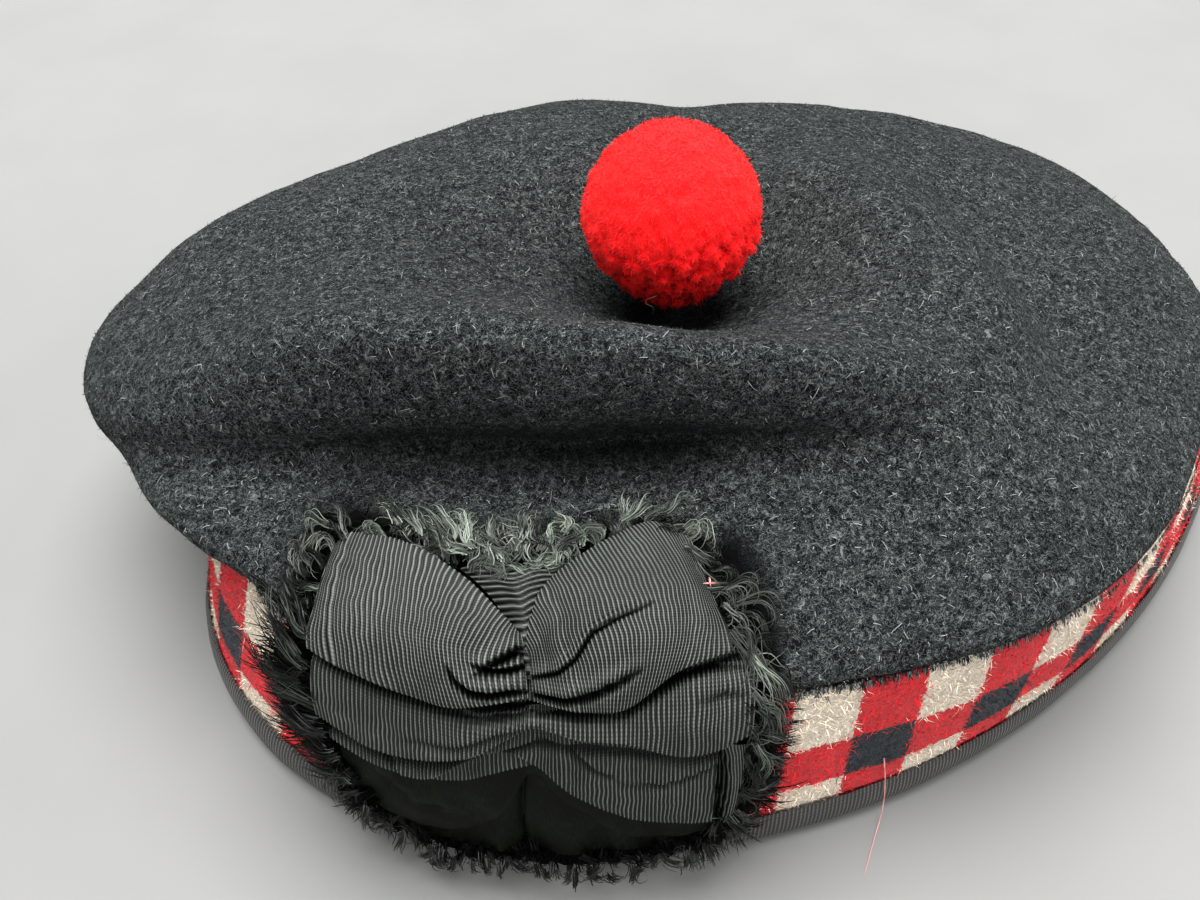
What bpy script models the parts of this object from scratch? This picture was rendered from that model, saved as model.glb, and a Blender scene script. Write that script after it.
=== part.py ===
"""Tam o shanter: a felted crown on a diced headband, with a ribbon cockade and a wool toorie.

Lengths and places are millimetres, and become metres where a mesh is made. The hat stands on its
edge binding. +X runs along the long axis of the head opening, the cockade is on the -X -Y side and
+Z is up. A section is a cut that runs from the rim of the opening to the seat of the toorie. In it,
"in" counts inwards from the rim and "z" counts up from the surface that the hat stands on.
"""

import math
import random
from collections import namedtuple

import bmesh
import bpy
from mathutils import Vector

MM = 0.001
GAP = 0.3  # clearance between pieces that touch
SEAM_GAP = 0.4  # clearance where a wall leans

# Head opening: two half ovals that share their long axis.
HALF_LENGTH = 108.5
HALF_FRONT = 77.0
HALF_BACK = 70.0
STEPS_AROUND = 60

# Headband and its binding.
BAND_WALL = 2.4
BAND_BOW = 1.3  # above 1 the band leans in more towards its top
BAND_LEVELS = 3  # above the binding
BINDING_TAPE = 0.9
BINDING_HEIGHT = 6.5
BAND_FOOT = BINDING_TAPE + GAP

# Crown felt.
FELT_WALL = 1.7
TIGHT_BEND = 0.7  # share of a bend's radius that the felt may fill
FELT_START = (0.1, 1.2)  # in and up from the seam to the next point, where the felt leans in
FELT_START_OVERHANG = (-0.2, 0.9)  # the same where the felt overhangs the band
FULL_OVERHANG = 4.0
SPAN_STEPS = (1, 2, 3, 3, 3, 3, 3, 3, 2, 1)  # steps from each point of a section to the next

# Toorie, and the pit in the crown that it sits in.
SEAT = Vector((-16.0, 7.0))
SEAT_Z = 35.6
SEAT_FLAT = 6.5
PIT_RADIUS = 17.0
PIT_Z = 42.0
TOORIE_CORE = (13.6, 13.6, 14.8)
TOORIE_LOCK = 2.0

# Crown sections around the opening, by the oval's own angle. low and shelf shape the first bulge above
# the seam, fold is the crease or the rim above it, and face is the wall of the roll. crest and mid are
# counted from the toorie's seat: the top of the roll, and the slope inside it.
Section = namedtuple(
    "Section",
    "angle band_in band_z low_in low_z shelf_in shelf_z fold_in fold_z face_in face_z crest_r crest_z mid_r mid_z",
)
SECTIONS = [
    Section(0.0, 18.0, 25.5, 20.0, 28.4, 25.0, 30.6, 34.0, 34.2, 57.0, 40.0, 40.0, 50.5, 27.0, 48.5),
    Section(22.5, 17.0, 25.8, 19.0, 28.9, 23.5, 30.5, 32.0, 33.4, 51.0, 39.5, 38.0, 48.0, 26.0, 46.5),
    Section(45.0, 14.0, 28.6, 15.8, 31.4, 19.5, 32.7, 26.0, 34.8, 36.0, 39.0, 38.0, 44.5, 26.0, 44.5),
    Section(67.5, 9.0, 31.0, 10.3, 34.0, 13.0, 35.4, 17.5, 37.0, 25.0, 39.8, 42.0, 43.5, 27.0, 45.0),
    Section(90.0, 6.5, 32.0, 2.8, 33.6, -1.4, 35.0, -3.0, 38.0, 1.5, 41.0, 52.0, 43.8, 32.0, 46.0),
    Section(112.5, 6.5, 32.0, -3.0, 31.6, -9.5, 31.6, -13.3, 34.8, -10.5, 38.4, 65.0, 43.2, 38.0, 47.5),
    Section(135.0, 7.0, 32.0, -6.0, 30.8, -17.5, 30.6, -23.3, 33.6, -20.5, 37.8, 85.0, 44.2, 50.0, 50.0),
    Section(157.5, 7.5, 32.0, -0.5, 31.0, -6.3, 32.0, -8.8, 36.6, -6.5, 42.0, 70.5, 52.5, 50.0, 55.0),
    Section(168.0, 8.5, 32.0, 1.2, 33.0, -0.9, 37.0, 6.5, 40.6, 9.0, 45.8, 67.5, 57.5, 45.0, 55.5),
    Section(180.0, 9.5, 32.0, 5.4, 34.2, 6.0, 38.5, 26.0, 41.0, 26.5, 49.0, 58.5, 60.5, 39.0, 56.0),
    Section(191.0, 9.0, 32.0, 8.6, 35.6, 12.5, 39.1, 37.5, 41.8, 36.0, 50.5, 50.0, 61.5, 34.0, 55.5),
    Section(202.5, 7.5, 32.0, 8.2, 35.4, 17.5, 39.8, 43.5, 42.2, 41.5, 51.5, 45.0, 62.0, 31.0, 54.5),
    Section(225.0, 7.5, 32.0, 8.8, 35.6, 20.0, 40.3, 45.0, 43.0, 42.0, 52.0, 40.5, 62.0, 28.0, 53.5),
    Section(247.5, 4.8, 32.3, 6.5, 35.8, 17.0, 40.6, 37.0, 45.5, 36.3, 52.5, 41.0, 60.0, 29.0, 53.0),
    Section(259.0, 2.2, 32.5, 4.5, 36.2, 13.0, 40.2, 31.5, 46.5, 33.0, 51.0, 45.5, 57.5, 31.0, 53.0),
    Section(270.0, 1.0, 32.5, 3.8, 36.2, 10.5, 39.8, 22.0, 44.5, 29.0, 48.5, 51.0, 53.0, 33.0, 51.5),
    Section(281.0, 3.2, 32.0, 5.8, 35.4, 11.0, 38.2, 20.0, 41.5, 28.0, 44.5, 55.0, 49.5, 35.0, 51.5),
    Section(292.5, 6.8, 30.5, 9.2, 33.5, 13.5, 35.6, 22.0, 38.3, 33.0, 41.0, 54.0, 50.0, 37.0, 52.5),
    Section(315.0, 11.5, 29.0, 13.6, 31.9, 17.0, 33.5, 25.0, 36.2, 46.0, 40.0, 47.0, 51.0, 33.0, 52.5),
    Section(337.5, 17.0, 26.8, 19.2, 29.6, 23.0, 31.3, 31.0, 34.7, 56.0, 39.8, 42.0, 51.0, 29.0, 50.5),
]

# Grooves pressed into the top of the crown, each along a line of three points seen from above.
Groove = namedtuple("Groove", "start bend end depth width")
GROOVES = [
    Groove((46.0, 24.0), (38.0, -14.0), (24.0, -52.0), 5.0, 8.0),
    Groove((-10.0, -14.0), (3.0, -3.0), (10.0, 14.0), 2.0, 5.0),
]
GROOVE_STEPS = (6, 6)

# Side of the hat that the cockade lies on, as a line (in, z) from the floor upwards.
COCKADE_ANGLE = 226.4
COCKADE_SHIFT = -8.0
BEND_LEFT = 85.0  # radius of its bend around the head on each side of the angle above
BEND_RIGHT = 170.0
DRAPE = [
    (-1.8, 0.6),
    (0.8, 12.0),
    (3.2, 22.0),
    (5.6, 30.0),
    (7.0, 34.2),
    (9.6, 37.2),
    (15.0, 39.8),
    (21.5, 41.7),
    (29.0, 43.3),
    (38.0, 45.0),
]

# Cockade rows from the hem up. left_u and right_u are the row's ends, and the five w columns are its
# height up the side at the left end, left half, middle, right half and right end. side_rise and
# middle_rise are how far the ribbon stands proud there.
Row = namedtuple(
    "Row", "name left_u right_u left_w half_left_w middle_w half_right_w right_w side_rise middle_rise"
)
BOW_ROWS = [
    Row("hem", -27.2, 24.6, 26.0, 22.6, 29.2, 20.0, 17.9, 1.5, 1.4),
    Row("third_tier", -27.4, 25.2, 26.8, 25.0, 31.0, 25.6, 24.0, 3.4, 2.4),
    Row("second_fold", -27.2, 25.6, 27.8, 27.4, 33.2, 32.8, 31.6, 2.2, 2.0),
    Row("second_lip", -27.2, 26.0, 28.9, 28.6, 34.0, 33.9, 32.8, 4.2, 3.2),
    Row("second_tier", -27.4, 27.4, 32.6, 32.2, 35.1, 35.4, 36.8, 4.0, 2.8),
    Row("first_fold", -27.8, 28.0, 35.8, 35.2, 35.9, 36.2, 39.8, 2.4, 2.0),
    Row("first_lip", -27.8, 27.6, 36.9, 36.3, 36.7, 37.1, 40.9, 4.8, 3.2),
    Row("lobe_foot", -27.4, 27.0, 40.0, 40.4, 38.2, 42.0, 43.6, 5.4, 2.4),
    Row("lobe_belly", -26.8, 26.2, 43.2, 45.0, 39.8, 47.4, 47.2, 5.2, 1.6),
    Row("lobe_top", -26.0, 24.8, 46.6, 48.8, 41.2, 52.4, 51.6, 4.0, 1.2),
    Row("top_edge", -24.4, 22.0, 49.4, 50.9, 42.4, 55.4, 55.2, 1.8, 1.0),
]
LEAF_ROWS = [
    Row("lower_edge", -27.0, 25.2, 22.8, 13.2, 24.2, 14.2, 15.0, 1.1, 1.0),
    Row("belly", -27.0, 25.2, 23.6, 16.8, 25.2, 16.2, 15.7, 3.4, 1.0),
    Row("tuck", -26.8, 25.0, 24.6, 20.4, 26.6, 18.2, 16.4, 0.9, 0.9),
    Row("top", -26.4, 24.6, 28.0, 26.0, 30.0, 23.0, 20.0, 0.9, 0.9),
]
COCKADE_COLUMNS = 18
HALF_LOBE = 14.0  # from the middle of the bow to the middle of a lobe
NOTCH_POWER = 0.6  # below 1 the lobes meet in a sharp notch
EDGE_RISE = 0.35  # share of a row's rise that is left at its two ends

# Frayed backing of the cockade. It has one row of locks round its edge and another in front of that.
FRINGE_CENTRE_W = 31.0
FRINGE_HALF_WIDTH = 31.0
FRINGE_HALF_HEIGHT = 26.0
FRINGE_ROUNDING = 0.12
FRINGE_LIFT = 0.5
FRINGE_WALL = 1.0
FRINGE_GRID = 16
FRINGE_LOCKS = (2.5, 5.5)  # shortest and longest lock
FRINGE_SWAY = 1.8
FRINGE_EDGE_LIFT = (0.7, 1.6)
FRINGE_FRONT_LIFT = (1.7, 3.2)
FRINGE_LOWEST_W = 2.2
FRINGE_SEED = 7

LEAF_LIFT = FRINGE_LIFT + FRINGE_WALL + GAP
BOW_LIFT = LEAF_LIFT + 0.9 + GAP

# Surface colours, as red, green and blue, with roughness.
FINISHES = {
    "navy_felt": ((0.012, 0.014, 0.024), 0.95),
    "diced_wool": ((0.62, 0.10, 0.11), 0.95),
    "grey_grosgrain": ((0.09, 0.085, 0.085), 0.8),
    "black_grosgrain": ((0.02, 0.02, 0.021), 0.6),
    "black_silk": ((0.012, 0.012, 0.013), 0.35),
    "black_thread": ((0.015, 0.016, 0.016), 0.5),
    "red_wool": ((0.70, 0.012, 0.018), 0.95),
}


def clear_scene():
    for obj in list(bpy.data.objects):
        bpy.data.objects.remove(obj, do_unlink=True)


def finish(name):
    """The named material, made on its first use."""
    if name in bpy.data.materials:
        return bpy.data.materials[name]
    colour, roughness = FINISHES[name]
    material = bpy.data.materials.new(name)
    material.use_nodes = True
    shader = material.node_tree.nodes["Principled BSDF"]
    shader.inputs["Base Color"].default_value = (*colour, 1.0)
    shader.inputs["Roughness"].default_value = roughness
    return material


def smooth_steps(knots, values, at):
    """Value at a place between knots, on a cubic that never overshoots them."""
    span = next(i for i in range(len(knots) - 1) if at <= knots[i + 1] or i == len(knots) - 2)

    def slope(i):
        if i == 0 or i == len(knots) - 1:
            return 0.0
        before = (values[i] - values[i - 1]) / (knots[i] - knots[i - 1])
        after = (values[i + 1] - values[i]) / (knots[i + 1] - knots[i])
        return 0.0 if before * after <= 0 else 2 * before * after / (before + after)

    width = knots[span + 1] - knots[span]
    t = (at - knots[span]) / width
    return (
        values[span] * (1 + 2 * t) * (1 - t) ** 2
        + slope(span) * width * t * (1 - t) ** 2
        + values[span + 1] * t * t * (3 - 2 * t)
        - slope(span + 1) * width * t * t * (1 - t)
    )


def section_at(angle):
    """The crown section at any angle, read between the rows of the table."""
    turn = 360.0
    rows = [row._replace(angle=row.angle - turn) for row in SECTIONS[-3:]]
    rows += SECTIONS
    rows += [row._replace(angle=row.angle + turn) for row in SECTIONS[:3]]
    angles = [row.angle for row in rows]
    columns = zip(*rows)
    return Section(*(smooth_steps(angles, column, angle % turn) for column in columns))


def rim_point(angle):
    """Point of the head opening's oval at an angle in degrees."""
    turn = math.radians(angle)
    half_width = HALF_BACK if math.sin(turn) > 0 else HALF_FRONT
    return Vector((HALF_LENGTH * math.cos(turn), half_width * math.sin(turn)))


def place(angle, inset, z):
    """Point of the section at an angle, inset from the rim towards the seat."""
    rim = rim_point(angle)
    across = rim + (SEAT - rim).normalized() * inset
    return Vector((across.x, across.y, z))


def curve_through(points, steps):
    """Points on a centripetal Catmull-Rom curve through the given ones, with steps for each span."""
    points = [Vector(point) for point in points]
    ends = [2 * points[0] - points[1], *points, 2 * points[-1] - points[-2]]
    found = []
    for p0, p1, p2, p3, span in zip(ends, ends[1:], ends[2:], ends[3:], steps):
        t0 = 0.0
        t1 = t0 + math.sqrt((p1 - p0).length)
        t2 = t1 + math.sqrt((p2 - p1).length)
        t3 = t2 + math.sqrt((p3 - p2).length)
        for step in range(span):
            t = t1 + (t2 - t1) * step / span
            a1 = p0.lerp(p1, (t - t0) / (t1 - t0))
            a2 = p1.lerp(p2, (t - t1) / (t2 - t1))
            a3 = p2.lerp(p3, (t - t2) / (t3 - t2))
            b1 = a1.lerp(a2, (t - t0) / (t2 - t0))
            b2 = a2.lerp(a3, (t - t1) / (t3 - t1))
            found.append(b1.lerp(b2, (t - t1) / (t2 - t1)))
    found.append(points[-1])
    return found


def offset_line(points, distance):
    """The outer line of a wall moved in by its thickness, or by less where it bends too tightly."""
    moved = []
    for i, point in enumerate(points):
        before = point - points[max(i - 1, 0)]
        after = points[min(i + 1, len(points) - 1)] - point
        along = before + after
        turn = before.y * after.x - before.x * after.y
        depth = distance
        if turn > 0:
            radius = before.length * after.length * along.length / (2 * turn)
            depth = min(distance, TIGHT_BEND * radius)
        moved.append(point + Vector((along.y, -along.x)).normalized() * depth)
    return moved


def band_in(section, z):
    """Inset of the headband's outer face at a height."""
    return section.band_in * (z / section.band_z) ** BAND_BOW


def groove_depth(x, y):
    """How far the grooves press the top of the crown down at a place seen from above."""
    deepest = 0.0
    for groove in GROOVES:
        line = curve_through((groove.start, groove.bend, groove.end), GROOVE_STEPS)
        nearest = min(range(len(line)), key=lambda i: (line[i] - Vector((x, y))).length)
        across = (line[nearest] - Vector((x, y))).length / groove.width
        fade = math.sin(math.pi * (nearest + 0.5) / len(line))
        deepest = max(deepest, groove.depth * fade * math.exp(-across * across))
    return deepest


def crown_lines(angle):
    """Outer and inner line of the crown's felt in one section, from its seam to the seat."""
    row = section_at(angle)
    reach = (rim_point(angle) - SEAT).length
    seam = Vector((row.band_in, row.band_z + SEAM_GAP))
    overhang = min(1.0, max(0.0, (row.band_in - row.low_in) / FULL_OVERHANG))
    outer = [
        seam,
        seam + Vector(FELT_START).lerp(Vector(FELT_START_OVERHANG), overhang),
        Vector((row.low_in, row.low_z)),
        Vector((row.shelf_in, row.shelf_z)),
        Vector((row.fold_in, row.fold_z)),
        Vector((row.face_in, row.face_z)),
        Vector((reach - row.crest_r, row.crest_z)),
        Vector((reach - row.mid_r, row.mid_z)),
        Vector((reach - PIT_RADIUS, PIT_Z)),
        Vector((reach - SEAT_FLAT, SEAT_Z)),
        Vector((reach, SEAT_Z)),
    ]
    inner = offset_line(outer, FELT_WALL)
    return curve_through(outer, SPAN_STEPS), curve_through(inner, SPAN_STEPS)


def add_object(name, mesh_builder, material, keep_sharp_degrees=40.0):
    """Turns a bmesh in millimetres into a named, smooth-shaded object in metres."""
    bmesh.ops.recalc_face_normals(mesh_builder, faces=mesh_builder.faces)
    if mesh_builder.calc_volume(signed=True) < 0:
        bmesh.ops.reverse_faces(mesh_builder, faces=mesh_builder.faces)
    bmesh.ops.scale(mesh_builder, vec=(MM, MM, MM), verts=mesh_builder.verts)
    mesh = bpy.data.meshes.new(name)
    mesh_builder.to_mesh(mesh)
    mesh_builder.free()
    mesh.shade_smooth()
    mesh.set_sharp_from_angle(angle=math.radians(keep_sharp_degrees))
    mesh.materials.append(finish(material))
    obj = bpy.data.objects.new(name, mesh)
    bpy.context.collection.objects.link(obj)
    return obj


def join_rows(builder, lower, upper, closed):
    """Quads between two rows of as many vertices."""
    count = len(lower)
    for i in range(count if closed else count - 1):
        j = (i + 1) % count
        builder.faces.new((lower[i], lower[j], upper[j], upper[i]))


def loft_around(profile_at):
    """Closed body swept around the opening. profile_at(angle) is its closed outline in the section."""
    builder = bmesh.new()
    rings = []
    for step in range(STEPS_AROUND):
        angle = 360.0 * step / STEPS_AROUND
        rings.append([builder.verts.new(place(angle, inset, z)) for inset, z in profile_at(angle)])
    for step in range(STEPS_AROUND):
        join_rows(builder, rings[step], rings[(step + 1) % STEPS_AROUND], closed=True)
    return builder


def headband():
    """Knitted band, a leaning wall that stands inside the fold of the binding."""

    def profile(angle):
        row = section_at(angle)
        rise = (row.band_z - BINDING_HEIGHT) / BAND_LEVELS
        heights = [BAND_FOOT, *(BINDING_HEIGHT + rise * i for i in range(BAND_LEVELS + 1))]
        outer = [(band_in(row, z), z) for z in heights]
        inner = [(inset + BAND_WALL, z) for inset, z in reversed(outer)]
        return outer + inner

    add_object("diced_band", loft_around(profile), "diced_wool")


def edge_binding():
    """Grosgrain tape folded round the bottom edge of the band. The hat rests on its fold."""

    def profile(angle):
        row = section_at(angle)
        levels = (0.0, BINDING_HEIGHT, BINDING_HEIGHT, BINDING_TAPE)
        clear = (SEAM_GAP + BINDING_TAPE, SEAM_GAP + BINDING_TAPE, SEAM_GAP, SEAM_GAP)
        outer = [(band_in(row, z) - away, z) for z, away in zip(levels, clear)]
        inner = [(band_in(row, z) + BAND_WALL + away, z) for z, away in zip(levels, clear)]
        return outer + inner[::-1]

    add_object("edge_binding", loft_around(profile), "grey_grosgrain")


def crown():
    """Felt shell, open below, whose roll overhangs the crease on the cockade's side."""
    builder = bmesh.new()
    outer_rings = []
    inner_rings = []
    for step in range(STEPS_AROUND):
        angle = 360.0 * step / STEPS_AROUND
        outer, inner = crown_lines(angle)
        for line, rings in ((outer[:-1], outer_rings), (inner[:-1], inner_rings)):
            ring = []
            for point, top in zip(line, outer):
                spot = place(angle, point.x, point.y)
                share = min(1.0, max(0.0, (top.x - section_at(angle).low_in) / PIT_RADIUS))
                spot.z -= share * groove_depth(spot.x, spot.y)
                ring.append(builder.verts.new(spot))
            rings.append(ring)
    outer_pole = builder.verts.new((SEAT.x, SEAT.y, SEAT_Z))
    inner_pole = builder.verts.new((SEAT.x, SEAT.y, SEAT_Z - FELT_WALL))
    for step in range(STEPS_AROUND):
        following = (step + 1) % STEPS_AROUND
        for rings, pole in ((outer_rings, outer_pole), (inner_rings, inner_pole)):
            join_rows(builder, rings[step], rings[following], closed=False)
            builder.faces.new((rings[step][-1], rings[following][-1], pole))
        seam = (outer_rings[step][0], outer_rings[following][0])
        hem = (inner_rings[following][0], inner_rings[step][0])
        builder.faces.new((*seam, *hem))
    add_object("crown", builder, "navy_felt", keep_sharp_degrees=60.0)


def toorie():
    """Wool ball: every face of a round core is drawn out into a short lock."""
    builder = bmesh.new()
    bmesh.ops.create_icosphere(builder, subdivisions=3, radius=1.0)
    bmesh.ops.scale(builder, vec=TOORIE_CORE, verts=builder.verts)
    bmesh.ops.poke(builder, faces=builder.faces, offset=TOORIE_LOCK, center_mode="MEAN")
    middle_z = SEAT_Z + GAP + TOORIE_CORE[2] + TOORIE_LOCK
    bmesh.ops.translate(builder, vec=(SEAT.x, SEAT.y, middle_z), verts=builder.verts)
    add_object("toorie", builder, "red_wool", keep_sharp_degrees=180.0)


def drape(u, w, lift):
    """Point on the cockade's side of the hat: u along it, w up it, lift out from it."""
    lengths = [0.0]
    for a, b in zip(DRAPE, DRAPE[1:]):
        lengths.append(lengths[-1] + math.dist(a, b))
    w = min(max(w, 0.0), lengths[-1])

    def line(at):
        return Vector(tuple(smooth_steps(lengths, column, at) for column in zip(*DRAPE)))

    nudge = 0.5
    along = line(min(w + nudge, lengths[-1])) - line(max(w - nudge, 0.0))
    out = Vector((-along.y, along.x)).normalized()
    from_middle = u + COCKADE_SHIFT
    inset, z = line(w) + out * lift
    inset += from_middle * from_middle / (2 * (BEND_RIGHT if from_middle > 0 else BEND_LEFT))
    rim = rim_point(COCKADE_ANGLE)
    facing = Vector((rim.x / HALF_LENGTH**2, rim.y / HALF_FRONT**2)).normalized()
    sideways = Vector((-facing.y, facing.x))
    across = rim + sideways * from_middle - facing * inset
    return Vector((across.x, across.y, z))


def row_point(row, share):
    """(u, w, rise) on a cockade row, with share from -1 at its left end to 1 at its right end."""
    right = share > 0
    end_u = row.right_u if right else row.left_u
    half_w = row.half_right_w if right else row.half_left_w
    end_w = row.right_w if right else row.left_w
    u = abs(share) * end_u
    out = abs(u)
    if out < HALF_LOBE:
        w = row.middle_w + (half_w - row.middle_w) * (out / HALF_LOBE) ** NOTCH_POWER
    else:
        w = half_w + (end_w - half_w) * ((out - HALF_LOBE) / (abs(end_u) - HALF_LOBE)) ** 2
    swell = min(1.0, out / HALF_LOBE)
    rise = row.middle_rise + (row.side_rise - row.middle_rise) * swell
    rise *= 1.0 - (1.0 - EDGE_RISE) * abs(share) ** 8
    return u, w, rise


def ribbon_body(name, rows, lift, material):
    """Closed body of ribbon over the drape: a raised front, a plain back and the edges between."""
    builder = bmesh.new()
    shares = [2.0 * i / COCKADE_COLUMNS - 1.0 for i in range(COCKADE_COLUMNS + 1)]
    front = []
    back = []
    for row in rows:
        points = [row_point(row, share) for share in shares]
        front.append([builder.verts.new(drape(u, w, lift + rise)) for u, w, rise in points])
        back.append([builder.verts.new(drape(u, w, lift)) for u, w, rise in points])
    for sheet in (front, back):
        for lower, upper in zip(sheet, sheet[1:]):
            join_rows(builder, lower, upper, closed=False)
    join_rows(builder, front[0], back[0], closed=False)
    join_rows(builder, front[-1], back[-1], closed=False)
    for end in (0, -1):
        join_rows(builder, [row[end] for row in front], [row[end] for row in back], closed=False)
    add_object(name, builder, material)


def cockade_fringe():
    """Backing of the cockade, whose edge and rim faces are drawn out into frayed locks."""
    builder = bmesh.new()
    dice = random.Random(FRINGE_SEED)
    side = range(FRINGE_GRID + 1)
    back, front = FRINGE_LIFT, FRINGE_LIFT + FRINGE_WALL
    spots = {}
    for lift in (back, front):
        for i in side:
            for j in side:
                a = 2.0 * i / FRINGE_GRID - 1.0
                b = 2.0 * j / FRINGE_GRID - 1.0
                u = FRINGE_HALF_WIDTH * a * (1.0 - FRINGE_ROUNDING * b * b)
                w = FRINGE_CENTRE_W + FRINGE_HALF_HEIGHT * b * (1.0 - FRINGE_ROUNDING * a * a)
                spots[i, j, lift] = (u, w, builder.verts.new(drape(u, w, lift)))

    def lock(corners, lifts):
        """Spike over four corners, drawn away from the middle of the cockade."""
        u = sum(corner[0] for corner in corners) / 4
        w = sum(corner[1] for corner in corners) / 4
        away = Vector((u, w - FRINGE_CENTRE_W)).normalized()
        reach = away * dice.uniform(*FRINGE_LOCKS)
        sway = Vector((-away.y, away.x)) * dice.uniform(-FRINGE_SWAY, FRINGE_SWAY)
        low = max(FRINGE_LOWEST_W, w + reach.y + sway.y)
        tip = builder.verts.new(drape(u + reach.x + sway.x, low, dice.uniform(*lifts)))
        for one, two in zip(corners, corners[1:] + corners[:1]):
            builder.faces.new((one[2], two[2], tip))

    for i in range(FRINGE_GRID):
        for j in range(FRINGE_GRID):
            for lift in (back, front):
                cell = [spots[i + di, j + dj, lift] for di, dj in ((0, 0), (1, 0), (1, 1), (0, 1))]
                if lift == front and (i in (0, FRINGE_GRID - 1) or j in (0, FRINGE_GRID - 1)):
                    lock(cell, FRINGE_FRONT_LIFT)
                else:
                    builder.faces.new([corner[2] for corner in cell])
    rim = [(i, 0) for i in side] + [(FRINGE_GRID, j) for j in side[1:]]
    rim += [(i, FRINGE_GRID) for i in side[-2::-1]] + [(0, j) for j in side[-2::-1]]
    for near, far in zip(rim, rim[1:]):
        corners = ((near, back), (far, back), (far, front), (near, front))
        lock([spots[*spot, lift] for spot, lift in corners], FRINGE_EDGE_LIFT)
    add_object("cockade_fringe", builder, "black_thread", keep_sharp_degrees=30.0)


def centre_on_origin():
    """Moves the hat so that the middle of its underside is at the origin."""
    pieces = list(bpy.context.collection.objects)
    corners = [Vector(vertex.co) for piece in pieces for vertex in piece.data.vertices]
    lowest = Vector([min(corner[k] for corner in corners) for k in range(3)])
    highest = Vector([max(corner[k] for corner in corners) for k in range(3)])
    hat = bpy.data.objects.new("hat", None)
    bpy.context.collection.objects.link(hat)
    hat.location = (-(lowest.x + highest.x) / 2, -(lowest.y + highest.y) / 2, -lowest.z)
    for piece in pieces:
        piece.parent = hat


def main():
    clear_scene()
    edge_binding()
    headband()
    crown()
    toorie()
    cockade_fringe()
    ribbon_body("cockade_leaves", LEAF_ROWS, LEAF_LIFT, "black_silk")
    ribbon_body("cockade_bow", BOW_ROWS, BOW_LIFT, "black_grosgrain")
    centre_on_origin()


main()
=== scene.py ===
"""A tam o shanter at rest on a pale floor: milled felt crown, diced wool band, grosgrain edge binding,
cut-wool toorie and a frayed black ribbon cockade. Lengths named in millimetres are in the hat's own
frame, whose origin is on the floor at the middle of the head opening's oval."""

import math

import bmesh
import bpy
import numpy as np
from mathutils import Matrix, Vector, noise
from mathutils.bvhtree import BVHTree


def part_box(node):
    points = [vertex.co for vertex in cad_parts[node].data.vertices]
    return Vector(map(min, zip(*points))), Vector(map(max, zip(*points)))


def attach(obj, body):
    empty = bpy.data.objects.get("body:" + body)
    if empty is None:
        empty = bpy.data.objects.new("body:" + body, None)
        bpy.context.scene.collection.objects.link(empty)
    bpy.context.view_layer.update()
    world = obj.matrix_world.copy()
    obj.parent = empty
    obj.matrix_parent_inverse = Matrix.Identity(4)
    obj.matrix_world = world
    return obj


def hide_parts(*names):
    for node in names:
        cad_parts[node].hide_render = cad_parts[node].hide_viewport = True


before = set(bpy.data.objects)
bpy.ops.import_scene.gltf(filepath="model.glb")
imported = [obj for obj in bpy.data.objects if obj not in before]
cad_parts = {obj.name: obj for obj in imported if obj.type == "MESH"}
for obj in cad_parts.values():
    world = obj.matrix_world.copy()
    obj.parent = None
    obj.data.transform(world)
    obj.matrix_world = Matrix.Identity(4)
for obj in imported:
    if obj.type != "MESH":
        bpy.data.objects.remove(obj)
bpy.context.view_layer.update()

MM = 0.001
BINDING_LOW, BINDING_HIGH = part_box("edge_binding")
OVAL_OFFSET = 3.51  # the oval's middle lies this far behind the middle of its box
ORIGIN = np.array([
    (BINDING_LOW.x + BINDING_HIGH.x) / 2,
    (BINDING_LOW.y + BINDING_HIGH.y) / 2 + OVAL_OFFSET * MM,
    0.0,
])

# The head opening's oval, which the band and the cockade follow
HALF_LENGTH = 108.5
HALF_FRONT = 77.0
HALF_BACK = 70.0

# The camera, in the hat's frame, in millimetres and degrees
CAMERA_PLACE = (-103.3, -101.3, 149.7)
CAMERA_HEADING = 34.03
CAMERA_PITCH = 48.0
CAMERA_LENS = 30.0
CAMERA_SENSOR = 36.0

# The floor, and the lamps: place in millimetres, width in metres, power in watts
FLOOR_RADIUS = 2.6
FLOOR_COLOURS = ((0.205, 0.205, 0.20, 1), (0.23, 0.23, 0.224, 1))
LAMPS = (
    ("overhead", (130, 370, 1550), 1.65, 73.0),
    ("side", (1700, -1040, 840), 1.2, 20.0),
    ("front", (-1220, -1680, 920), 1.4, 34.0),
)
ROOM_COLOUR = (0.92, 0.96, 1.0, 1)
ROOM_STRENGTH = 0.14

# The diced band: column numbers by length round the oval, and the depth of each row's edge
COLUMN_KNOTS = ((289.0, -8.0), (378.9, 0.0), (450.2, 7.0), (866.14, 48.0))
COLUMNS = 56
CHECK_DEPTHS = (0.0, 11.7, 20.4, 29.0)
BINDING_TOP = 6.5

# The cockade: its angle on the oval, its shift along the hat's side, the radius that the side bends
# at to the left and right of it, and the side's own line as inset from the oval and height
COCKADE_ANGLE = 226.4
COCKADE_SHIFT = -8.0
BEND_LEFT = 85.0
BEND_RIGHT = 170.0
DRAPE = (
    (-1.8, 0.6), (0.8, 12.0), (3.2, 22.0), (5.6, 30.0), (7.0, 34.2),
    (9.6, 37.2), (15.0, 39.8), (21.5, 41.7), (29.0, 43.3), (38.0, 45.0),
)
RIB = 0.63  # from rib to rib of the grosgrain

SKY_RAYS = 18  # rays that measure how open the air over a point is
RAY_START = 0.05  # mm off the surface
CREASE_SHADE = 0.93  # how far a pressed crease loses its open value, which darkens it as painted shade
GOLDEN_TURN = math.pi * (3 - math.sqrt(5))
SECTIONS_EVERY = 6.0  # degrees between places where the band's top edge is read


# ---------------------------------------------------------------- places


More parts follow.
